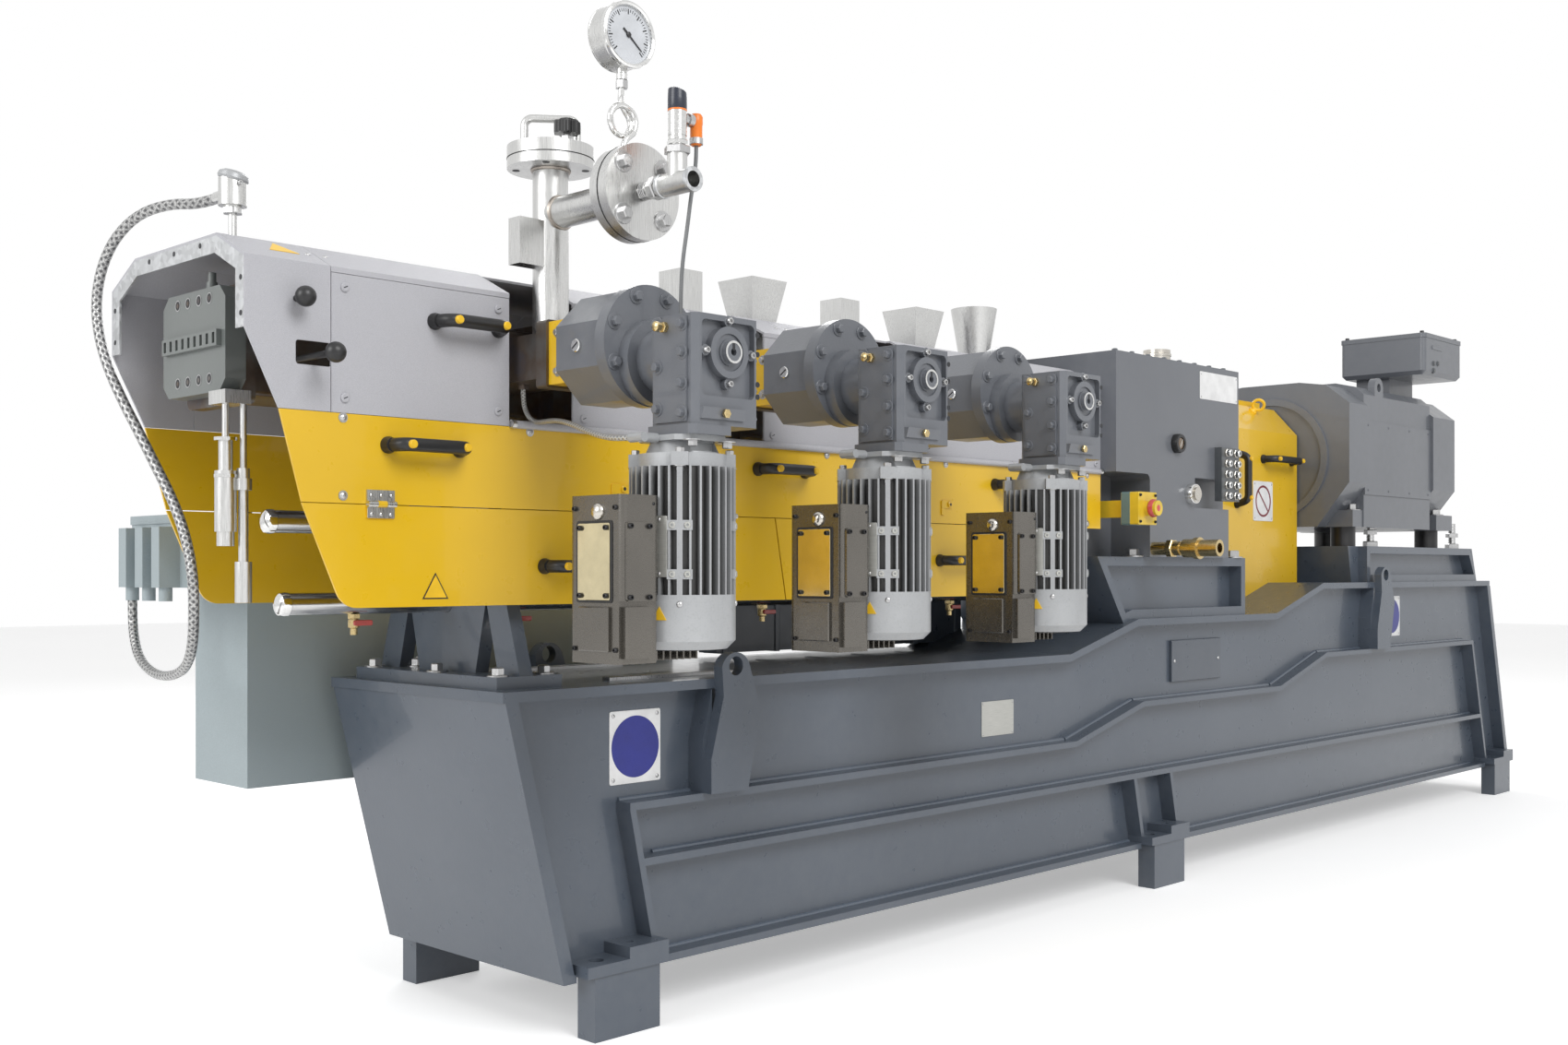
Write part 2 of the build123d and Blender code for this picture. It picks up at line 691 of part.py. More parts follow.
def cover_section(bottom, thickness):
    """Outline of the cover sheet seen along the machine: sides, shoulders and roof."""
    outer = [
        (-COVER_HALF, bottom),
        (-COVER_HALF, COVER_SHOULDER),
        (-ROOF_HALF, COVER_TOP),
        (ROOF_HALF, COVER_TOP),
        (COVER_HALF, COVER_SHOULDER),
        (COVER_HALF, bottom),
    ]
    lean = atan2(COVER_TOP - COVER_SHOULDER, COVER_HALF - ROOF_HALF)
    side_in = COVER_HALF - thickness
    roof_in = COVER_TOP - thickness
    shoulder_in = COVER_SHOULDER + thickness * tan(lean) - thickness / cos(lean)
    roof_corner = ROOF_HALF - thickness * tan(lean / 2)
    inner = [
        (side_in, bottom),
        (side_in, shoulder_in),
        (roof_corner, roof_in),
        (-roof_corner, roof_in),
        (-side_in, shoulder_in),
        (-side_in, bottom),
    ]
    return outer + inner


def covers():
    """Hood with its front flange, roof sections, near doors and far panels."""
    with BuildPart() as hood:
        with BuildSketch(Plane.YZ):
            Polygon(*cover_section(COVER_BOTTOM, COVER_SHEET), align=None)
        extrude(amount=HOOD_END - SEAM)
        with BuildSketch(Plane.XZ.offset(-COVER_HALF - SEAM)):
            Polygon(
                (-SEAM, COVER_BOTTOM - SEAM),
                (-SEAM, HOOD_SLANT_Z),
                (0.0, HOOD_SLANT_Z),
                (SKIRT_FRONT_TOP, COVER_BOTTOM - SEAM),
                align=None,
            )
        extrude(amount=2 * (COVER_HALF + SEAM), mode=Mode.SUBTRACT)
        slot_x0, slot_x1, slot_z0, slot_z1 = LEVER_SLOT
        with BuildSketch(Plane.XZ.offset(COVER_HALF)):
            with Locations(((slot_x0 + slot_x1) / 2, (slot_z0 + slot_z1) / 2)):
                RectangleRounded(slot_x1 - slot_x0, slot_z1 - slot_z0, KNOB_STEM)
        extrude(amount=-COVER_SHEET, mode=Mode.SUBTRACT)
    keep("cover_front_hood", hood.part)

    with BuildPart() as flange:
        outer = cover_section(HOOD_SLANT_Z, COVER_SHEET)[6:]
        inner = cover_section(HOOD_SLANT_Z, COVER_SHEET + HOOD_FLANGE)[6:]
        with BuildSketch(Plane.YZ):
            Polygon(*outer, *reversed(inner), align=None)
        extrude(amount=HOOD_FLANGE_SHEET)
    keep("hood_flange", flange.part)

    sections = (HOOD_END,) + ROOF_SEAMS + (COVER_END,)
    for name, ends in (("cover_roof", sections[:-1]), ("cover_roof_rear", sections[-2:])):
        with BuildPart() as roof:
            for a, b in zip(ends, ends[1:]):
                with BuildSketch(Plane.YZ.offset(a)):
                    Polygon(*cover_section(ROOF_EDGE, COVER_SHEET), align=None)
                extrude(amount=b - a - (SEAM if b < COVER_END else 0.0))
            for x in FEEDER_X:
                with BuildSketch(Plane.XY.offset(ROOF_EDGE - SEAM)):
                    with Locations((x, -COVER_HALF)):
                        Rectangle(2 * BAY_HALF, 2 * BAY_DEPTH)
                extrude(amount=COVER_TOP - ROOF_EDGE + 2 * SEAM, mode=Mode.SUBTRACT)
            with BuildSketch(Plane.XY.offset(COVER_TOP - 2 * COVER_SHEET)):
                for x in TUBE_X + FUNNEL_X:
                    with Locations((x, 0)):
                        Rectangle(INLET + 2 * SEAT, INLET + 2 * SEAT)
                with Locations((CONE_X, 0)):
                    Circle(CONE_BOTTOM + SEAT)
            extrude(amount=3 * COVER_SHEET, mode=Mode.SUBTRACT)
        keep(name, roof.part)

    side_top = ROOF_EDGE - SEAM
    edges = [HOOD_END]
    for x in FEEDER_X:
        edges += [x - BAY_HALF, x + BAY_HALF]
    edges.append(COVER_END)
    with BuildPart() as doors:
        with BuildSketch(Plane.XZ.offset(COVER_HALF - COVER_SHEET)):
            for a, b in zip(edges[::2], edges[1::2]):
                with Locations(((a + b) / 2, (COVER_BOTTOM + side_top) / 2)):
                    Rectangle(b - a - SEAM, side_top - COVER_BOTTOM)
        extrude(amount=COVER_SHEET)
    keep("cover_doors_near", doors.part)

    with BuildPart() as far:
        with BuildSketch(Plane.XZ.offset(-COVER_HALF)):
            for i in range(4):
                a = HOOD_END + i * (COVER_END - HOOD_END) / 4
                b = HOOD_END + (i + 1) * (COVER_END - HOOD_END) / 4
                with Locations(((a + b) / 2, (COVER_BOTTOM + side_top) / 2)):
                    Rectangle(b - a - SEAM, side_top - COVER_BOTTOM)
        extrude(amount=COVER_SHEET)
    keep("cover_doors_far", far.part)

    x, z = KNOB_NEAR
    with BuildPart() as knobs:
        with BuildSketch(Plane.XZ.offset(COVER_HALF)):
            with Locations((x, z)):
                Circle(KNOB_STEM)
        extrude(amount=KNOB_OUT)
        with Locations((x, -COVER_HALF - KNOB_OUT, z)):
            Sphere(KNOB_RADIUS)
        x, out, z = LEVER_BALL
        with BuildSketch(Plane.XZ.offset(BARREL_WIDTH / 2)):
            with Locations((x, z)):
                Circle(KNOB_STEM)
        extrude(amount=COVER_HALF + out - BARREL_WIDTH / 2)
        with Locations((x, -COVER_HALF - out, z)):
            Sphere(KNOB_RADIUS)
    keep("cover_knobs", knobs.part)


def knuckle(x0, x1, radius):
    """One cylinder of a hinge, from x0 to x1 along the hinge line."""
    with BuildPart() as barrel:
        with BuildSketch(Plane.YZ.offset(x0)):
            with Locations((-HINGE_Y, FLAP_TOP)):
                Circle(radius)
        extrude(amount=x1 - x0)
    return barrel.part


def hinge_leaf(x, side):
    """A leaf lying on the sheet above (side 1) or below (side -1) the hinge line."""
    with BuildPart() as leaf:
        with BuildSketch(Plane.YZ.offset(x)):
            z0, z1 = FLAP_TOP + side * 1.0, FLAP_TOP + side * HINGE_HEIGHT
            Polygon(
                (-COVER_HALF, z0),
                (-COVER_HALF, z1),
                (-COVER_HALF - HINGE_LEAF, z1),
                (-COVER_HALF - HINGE_LEAF, z0),
                align=None,
            )
        extrude(amount=HINGE_LENGTH)
    return leaf.part


def flap(x0_top, x0_bottom, x1_top, x1_bottom, round_front, hinge_x):
    """One lower flap with its hinge leaves, standing in the skirt plane."""
    top = FLAP_TOP - FLAP_GAP
    third = HINGE_LENGTH / 3
    with BuildPart() as panel:
        with BuildSketch(Plane.XZ.offset(COVER_HALF - COVER_SHEET)) as sk:
            Polygon(
                (x0_top, top), (x1_top, top), (x1_bottom, FLAP_BOTTOM), (x0_bottom, FLAP_BOTTOM),
                align=None,
            )
            if round_front:
                corner = sk.vertices().group_by(Axis.Y)[0].sort_by(Axis.X)[0]
                fillet(corner, 36.0)
        extrude(amount=COVER_SHEET)
        for x in hinge_x:
            add(hinge_leaf(x, -1))
            for x0, x1 in ((x, x + third), (x + 2 * third, x + HINGE_LENGTH)):
                with BuildSketch(Plane.YZ.offset(x0)):
                    with Locations((-HINGE_Y, FLAP_TOP)):
                        Circle(KNUCKLE_RADIUS + PIN_CLEARANCE)
                extrude(amount=x1 - x0, mode=Mode.SUBTRACT)
            add(knuckle(x + third + PIN_CLEARANCE, x + 2 * third - PIN_CLEARANCE, KNUCKLE_RADIUS))
            add(knuckle(x, x + HINGE_LENGTH, PIN_RADIUS + PIN_CLEARANCE), mode=Mode.SUBTRACT)
    return panel.part


def skirts():
    """Fixed upper skirt panels and the lower flaps hinged along their top edge."""
    with BuildPart() as upper:
        with BuildSketch(Plane.XZ.offset(COVER_HALF - COVER_SHEET)):
            Polygon(
                (SKIRT_FRONT_TOP, COVER_BOTTOM - SEAM),
                (COVER_END, COVER_BOTTOM - SEAM),
                (COVER_END, FLAP_TOP),
                (SKIRT_FRONT_BOTTOM, FLAP_TOP),
                align=None,
            )
        extrude(amount=COVER_SHEET)
    keep("skirt_near", upper.part)
    keep("skirt_far", mirror(upper.part, about=Plane.XZ))

    end = COVER_END - FLAP_END_GAP
    split = FLAP_SPLIT + FLAP_SEAM + FLAP_SLANT
    pairs = (
        ("front", SKIRT_FRONT_BOTTOM, FLAP_FRONT_BOTTOM, FLAP_SPLIT, FLAP_SPLIT + FLAP_SLANT, True),
        ("rear", FLAP_SPLIT + FLAP_SEAM, split, end, end, False),
    )
    panels = []
    for i, (name, *outline) in enumerate(pairs):
        panels.append(flap(*outline, HINGE_X[2 * i:2 * i + 2]))
        keep(f"flap_near_{name}", panels[-1])
    with BuildPart() as far_flaps:
        for panel in panels:
            add(mirror(panel, about=Plane.XZ))
    keep("flaps_far", far_flaps.part)

    third = HINGE_LENGTH / 3
    with BuildPart() as hinges:
        for x in HINGE_X:
            add(hinge_leaf(x, 1))
            with BuildSketch(Plane.YZ.offset(x + third)):
                with Locations((-HINGE_Y, FLAP_TOP)):
                    Circle(KNUCKLE_RADIUS + PIN_CLEARANCE)
            extrude(amount=third, mode=Mode.SUBTRACT)
            add(knuckle(x, x + third, KNUCKLE_RADIUS))
            add(knuckle(x + 2 * third, x + HINGE_LENGTH, KNUCKLE_RADIUS))
            add(knuckle(x, x + HINGE_LENGTH, PIN_RADIUS))
        mirror(about=Plane.XZ)
    keep("skirt_hinges", hinges.part)


def grip(center_x, z, length, plane_y):
    """A black bow handle that stands off the near side of a panel."""
    with BuildPart() as bow:
        with BuildSketch(Plane.XY.offset(z)):
            with Locations((center_x, plane_y - 34.0)):
                SlotOverall(length, 24.0)
        extrude(amount=12.0, both=True)
        with BuildSketch(Plane.XZ.offset(-plane_y)):
            with Locations((center_x - length / 2 + 12.0, z), (center_x + length / 2 - 12.0, z)):
                Circle(11.0)
        extrude(amount=30.0)
    return bow.part


def handles():
    """Bow handles of the doors, the skirt and the flaps."""
    near = -COVER_HALF
    with BuildPart() as grips:
        add(grip(367.0, 1151.0, 141.0, near))
        for x in (290.0, 1070.0, 1800.0):
            add(grip(x, 957.0, 150.0, near))
    keep("panel_handles", grips.part)
    with BuildPart() as front_grip:
        add(grip(570.0, 776.0, 130.0, near))
    keep("flap_front_handle", front_grip.part)
    with BuildPart() as rear_grip:
        add(grip(1598.0, 790.0, 130.0, near))
    keep("flap_rear_handle", rear_grip.part)


def at_feeders(name, piece):
    """Repeat a piece built at x = 0 at each side feeder."""
    with BuildPart() as copies:
        for x in FEEDER_X:
            add(piece.moved(Location((x, 0, 0))))
    keep(name, copies.part)


def feeder_barrels():
    """Rectangular feeder barrel with its end flange and cable gland, from the main barrels outward."""
    with BuildPart() as block:
        with BuildSketch(Plane.XZ.offset(BARREL_WIDTH / 2)):
            with Locations((0, SCREW_Z)):
                Rectangle(2 * FEEDER_BLOCK_HALF, FEEDER_BLOCK_HEIGHT)
        extrude(amount=FEEDER_BLOCK_END - BARREL_WIDTH / 2)
        with BuildSketch(Plane.XZ.offset(FEEDER_BLOCK_END - FEEDER_FLANGE)):
            with Locations((0, SCREW_Z)):
                RectangleRounded(2 * FEEDER_BLOCK_HALF + 22.0, FEEDER_BLOCK_HEIGHT + 34.0, 6.0)
        extrude(amount=FEEDER_FLANGE)
        add(stepped(CABLE_GLAND, SCREW_Z - FEEDER_BLOCK_HEIGHT / 2, CABLE_GLAND_STEPS, -1))
    at_feeders("feeder_barrels", block.part)


def feeder_guards():
    """Yellow sheet guard in a square ring round each feeder coupling."""
    width = 2 * FEEDER_BLOCK_HALF + GUARD_RING[0]
    height = FEEDER_BLOCK_HEIGHT + GUARD_RING[1]
    with BuildPart() as guard:
        with BuildSketch(Plane.XZ.offset(FEEDER_BLOCK_END)):
            with Locations((0, SCREW_Z)):
                Rectangle(width, height)
                Rectangle(width - 2 * GUARD_SHEET, height - 2 * GUARD_SHEET, mode=Mode.SUBTRACT)
        extrude(amount=COUPLING_LENGTH)
    at_feeders("feeder_guards", guard.part)


def feeder_lanterns():
    """Octagonal coupling housing with a round flange towards the gear unit."""
    with BuildPart() as lantern:
        with BuildSketch(Plane.XZ.offset(FEEDER_BLOCK_END)):
            with Locations((0, SCREW_Z)):
                RegularPolygon(LANTERN_RADIUS / 2, 8, rotation=22.5)
        extrude(amount=COUPLING_LENGTH)
        with BuildSketch(Plane.XZ.offset(FEEDER_BLOCK_END + COUPLING_LENGTH)):
            with Locations((0, SCREW_Z)):
                RegularPolygon(LANTERN_RADIUS, 8, major_radius=False, rotation=22.5)
        extrude(amount=LANTERN_NEAR - FEEDER_BLOCK_END - COUPLING_LENGTH)
        with BuildSketch(Plane.XZ.offset(LANTERN_NEAR)):
            with Locations((0, SCREW_Z)):
                Circle(LANTERN_RADIUS + LANTERN_LIP)
        extrude(amount=LANTERN_FLANGE)
    at_feeders("feeder_lanterns", lantern.part)


def feeder_gearboxes():
    """Right-angle gear unit: output flange, ribbed pocket with the eared bearing cover, side plates."""
    axis_z = SCREW_Z - FEEDER_DROP
    seat_y = LANTERN_NEAR + LANTERN_FLANGE
    middle = -(GEARBOX_NEAR + GEARBOX_FAR) / 2
    pocket_z = GEARBOX_TOP - GEARBOX_WALL - GEAR_POCKET_HEIGHT / 2
    pocket_width = GEARBOX_WIDTH - 2 * (GEARBOX_CHAMFER + GEARBOX_WALL / 2)
    with BuildPart() as gear:
        with BuildSketch(Plane.XY.offset(GEARBOX_BOTTOM)):
            with Locations((0, middle)):
                box = Rectangle(GEARBOX_WIDTH, GEARBOX_NEAR - GEARBOX_FAR)
            chamfer(box.vertices(), GEARBOX_CHAMFER)
        extrude(amount=GEARBOX_TOP - GEARBOX_BOTTOM)
        with BuildSketch(Plane.XZ.offset(GEARBOX_NEAR)):
            with Locations((0, pocket_z)):
                RectangleRounded(pocket_width, GEAR_POCKET_HEIGHT, GEARBOX_WALL)
        extrude(amount=-GEAR_POCKET, mode=Mode.SUBTRACT)
        with BuildSketch(Plane.XZ.offset(GEARBOX_NEAR - GEAR_POCKET)):
            with Locations((0, axis_z)):
                Circle(BEARING_RADIUS)
                with PolarLocations(EAR_RING, 4):
                    Circle(EAR_RADIUS)
                Rectangle(pocket_width, GEARBOX_WALL)
                Rectangle(GEARBOX_WALL, 2 * EAR_RING)
        extrude(amount=GEAR_POCKET)
        with BuildSketch(Plane.XZ.offset(GEARBOX_NEAR)):
            with Locations((0, axis_z)):
                Circle(BEARING_RADIUS)
                Circle(HUB_RADIUS + HUB_PROUD, mode=Mode.SUBTRACT)
                Circle(HUB_RADIUS + BEARING_PROUD)
        extrude(amount=BEARING_PROUD)
        with BuildSketch(Plane.XZ.offset(GEARBOX_NEAR)):
            with Locations((0, axis_z)):
                Circle(HUB_RADIUS)
        extrude(amount=HUB_PROUD)
        with BuildSketch(Plane.XZ.offset(GEARBOX_NEAR + HUB_PROUD)):
            with Locations((0, axis_z)):
                with PolarLocations(EAR_RING, 4):
                    Circle(EAR_RADIUS / 2)
                Circle(HUB_RADIUS / 3)
        extrude(amount=-(HUB_PROUD + GEAR_POCKET / 2), mode=Mode.SUBTRACT)
        for side in (-1, 1):
            with BuildSketch(Plane.YZ.offset(side * GEARBOX_WIDTH / 2)):
                with Locations((middle, (GEARBOX_TOP + GEARBOX_BOTTOM) / 2)):
                    Rectangle(GEARBOX_NEAR - GEARBOX_FAR - 4 * GEARBOX_WALL,
                              GEARBOX_TOP - GEARBOX_BOTTOM - GEARBOX_WALL)
            extrude(amount=side * SIDE_PLATE)
        with BuildSketch(Plane.XY.offset(GEARBOX_BOTTOM - GEAR_FLANGE)):
            with Locations((MOTOR_AXIS_X, middle)):
                low = Rectangle(*GEAR_FLANGE_SIZE)
            chamfer(low.vertices(), GEARBOX_CHAMFER)
        extrude(amount=GEAR_FLANGE)
        with BuildSketch(Plane.YZ.offset(-GEARBOX_WIDTH / 2 + GEARBOX_CHAMFER)):
            Polygon(
                (-GEARBOX_NEAR, GEARBOX_BOTTOM + GEARBOX_WALL),
                (-GEARBOX_NEAR, GEARBOX_BOTTOM + 3 * GEARBOX_WALL),
                (-GEARBOX_NEAR - GEAR_PAD, GEARBOX_BOTTOM + 3 * GEARBOX_WALL),
                (-GEARBOX_NEAR - GEAR_PAD / 2, GEARBOX_BOTTOM + GEARBOX_WALL),
                align=None,
            )
        extrude(amount=GEAR_FLANGE_SIZE[0])
        with BuildSketch(Plane.XZ.offset(seat_y)):
            with Locations((0, axis_z)):
                Circle(GEARBOX_WIDTH / 2)
        extrude(amount=LANTERN_FLANGE)
        with BuildSketch(Plane.XZ.offset(seat_y + LANTERN_FLANGE)):
            with Locations((0, axis_z)):
                Circle(BEARING_RADIUS + HUB_PROUD)
        extrude(amount=GEARBOX_FAR - seat_y - LANTERN_FLANGE)
        with BuildSketch(Plane.XY.offset(axis_z)):
            with Locations((GEAR_GLAND[0], -GEAR_GLAND[1])):
                Circle(GLAND_RADIUS)
        extrude(amount=GLAND_TOP - axis_z)
    at_feeders("feeder_gearboxes", gear.part)


def feeder_motors():
    """Vertical finned motor: adapter plate, windowed bell, lugged ring, fins and fan cowl."""
    centre = (MOTOR_AXIS_X, -MOTOR_AXIS_Y)
    plate_top = GEARBOX_BOTTOM - GEAR_FLANGE
    plate_bottom = plate_top - ADAPTER_PLATE
    ring_top = plate_bottom - BELL_HEIGHT
    with BuildPart() as motor:
        with BuildSketch(Plane.XY.offset(plate_bottom)):
            with Locations(centre):
                top = Rectangle(2 * BELL_RADIUS, 2 * BELL_RADIUS + ADAPTER_PLATE)
            chamfer(top.vertices(), 2 * ADAPTER_PLATE)
        extrude(amount=ADAPTER_PLATE)
        elbow_z = plate_bottom + ADAPTER_PLATE / 2
        with BuildSketch(Plane.YZ.offset(centre[0] - BELL_RADIUS)):
            with Locations((centre[1], elbow_z)):
                Circle(GLAND_RADIUS)
        extrude(amount=-ELBOW_REACH)
        with BuildSketch(Plane.XZ.offset(MOTOR_AXIS_Y + GLAND_RADIUS)):
            with Locations((MOTOR_ROUTE[0][0] - FEEDER_X[0], elbow_z)):
                Circle(GLAND_RADIUS)
        extrude(amount=-(MOTOR_ROUTE[0][1] + MOTOR_AXIS_Y + GLAND_RADIUS))
        with BuildSketch(Plane.XY.offset(ring_top)):
            with Locations(centre):
                Circle(BELL_RADIUS + LID_THICK)
        with BuildSketch(Plane.XY.offset(plate_bottom)):
            with Locations(centre):
                Circle(BELL_RADIUS - LID_THICK)
        loft()
        for side in (-1, 1):
            with BuildSketch(Plane.XZ.offset(MOTOR_AXIS_Y + side * (BELL_RADIUS + LID_THICK))):
                with Locations((centre[0], ring_top + BELL_HEIGHT / 2)):
                    Rectangle(BELL_RADIUS, BELL_HEIGHT - 2 * FIN_THICK)
            extrude(amount=-side * BELL_HEIGHT, mode=Mode.SUBTRACT)
        with BuildSketch(Plane.XY.offset(FINS_TOP)):
            with Locations(centre):
                Circle(MOTOR_CORE + FIN_THICK)
                with PolarLocations(MOTOR_FIN - BELL_HEIGHT / 2, 4, start_angle=45):
                    Rectangle(BELL_HEIGHT, LUG_WIDTH)
        extrude(amount=ring_top - FINS_TOP)
        with BuildSketch(Plane.XY.offset(FINS_BOTTOM)):
            with Locations(centre):
                Circle(MOTOR_CORE)
                with PolarLocations(MOTOR_CORE, FIN_COUNT):
                    Rectangle(2 * (MOTOR_FIN - MOTOR_CORE), FIN_THICK)
                with PolarLocations(MOTOR_CORE, 4, start_angle=45):
                    Rectangle(2 * (MOTOR_FIN - MOTOR_CORE), SEAM_BAR)
        extrude(amount=FINS_TOP - FINS_BOTTOM)
        for z in PAD_LEVELS:
            with BuildSketch(Plane.XY.offset(z - MOTOR_PAD[2] / 2)):
                with Locations(centre):
                    with PolarLocations(MOTOR_FIN - MOTOR_PAD[0] / 2, 4, start_angle=45):
                        Rectangle(*MOTOR_PAD[:2])
            extrude(amount=MOTOR_PAD[2])
        with BuildSketch(Plane.XY.offset(COWL_BOTTOM)):
            with Locations(centre):
                Circle(MOTOR_FIN)
        extrude(amount=FINS_BOTTOM - COWL_BOTTOM)
        chamfer(motor.edges().group_by(Axis.Z)[0], COWL_CHAMFER)
    at_feeders("feeder_motors", motor.part)
    return motor.part


def inverter_boxes(motor):
    """Drive electronics box on the front of each motor, with its lid, step and finned heat sink."""
    depth, width = INVERTER_NEAR - INVERTER_FAR, INVERTER_REAR - INVERTER_FRONT
    centre = ((INVERTER_FRONT + INVERTER_REAR) / 2, -(INVERTER_NEAR + INVERTER_FAR) / 2)
    with BuildPart() as inverter:
        with BuildSketch(Plane.XY.offset(INVERTER_BOTTOM)):
            with Locations(centre):
                RectangleRounded(width, depth, INVERTER_CORNER)
        extrude(amount=INVERTER_TOP - INVERTER_BOTTOM)
        with BuildSketch(Plane.XZ.offset(INVERTER_NEAR)):
            with Locations((centre[0], (INVERTER_BOTTOM + LID_Z[0]) / 2)):
                Rectangle(width, LID_Z[0] - INVERTER_BOTTOM)
            with Locations((centre[0] - LID_THICK, (INVERTER_BOTTOM + LID_Z[0]) / 2)):
                Rectangle(width - 5 * LID_THICK, LID_Z[0] - INVERTER_BOTTOM - 4 * LID_THICK,
                          mode=Mode.SUBTRACT)
        extrude(amount=-2 * LID_THICK, mode=Mode.SUBTRACT)
        with BuildSketch(Plane.XZ.offset(INVERTER_NEAR)):
            with Locations(((LID_X[0] + LID_X[1]) / 2, (LID_Z[0] + LID_Z[1]) / 2)):
                RectangleRounded(LID_X[1] - LID_X[0], LID_Z[1] - LID_Z[0], LID_THICK)
        extrude(amount=LID_THICK)
        with BuildSketch(Plane.YZ.offset(INVERTER_REAR)):
            with Locations((-MOTOR_AXIS_Y, (LID_Z[0] + INVERTER_TOP) / 2)):
                Rectangle(*SINK_NECK)
        extrude(until=Until.NEXT, target=motor)
        with BuildSketch(Plane.XY.offset(INVERTER_BOTTOM)):
            with Locations((INVERTER_REAR, -(INVERTER_FAR + SINK_FAR) / 2)):
                Rectangle(SINK_FINS * SINK_PITCH, INVERTER_FAR - SINK_FAR, align=(Align.MIN, Align.CENTER))
        extrude(amount=2 * SINK_FIN)
        with BuildSketch(Plane.YZ.offset(INVERTER_REAR)):
            Polygon(
                (-SINK_FAR, INVERTER_BOTTOM),
                (-INVERTER_NEAR + SINK_NECK[0], INVERTER_BOTTOM),
                (-INVERTER_NEAR + SINK_NECK[0], COWL_BOTTOM - SINK_FIN),
                (-INVERTER_FAR + SEAT, COWL_BOTTOM - SINK_FIN),
                (-INVERTER_FAR + SEAT, SINK_TOP),
                (-SINK_FAR, SINK_TOP),
                align=None,
            )
        extrude(amount=SINK_FIN)
        for i in range(1, SINK_FINS):
            with BuildSketch(Plane.YZ.offset(INVERTER_REAR + (i + 1) * SINK_PITCH - SINK_FIN)):
                Polygon(
                    (-SINK_FAR, INVERTER_BOTTOM),
                    (-INVERTER_NEAR + SINK_NECK[0], INVERTER_BOTTOM),
                    (-INVERTER_NEAR + SINK_NECK[0], COWL_BOTTOM - SINK_FIN),
                    (-INVERTER_FAR + SEAT, COWL_BOTTOM - SINK_FIN),
                    (-INVERTER_FAR + SEAT, SINK_TOP),
                    (-SINK_FAR, SINK_TOP),
                    align=None,
                )
            extrude(amount=SINK_FIN)
    at_feeders("inverter_boxes", inverter.part)


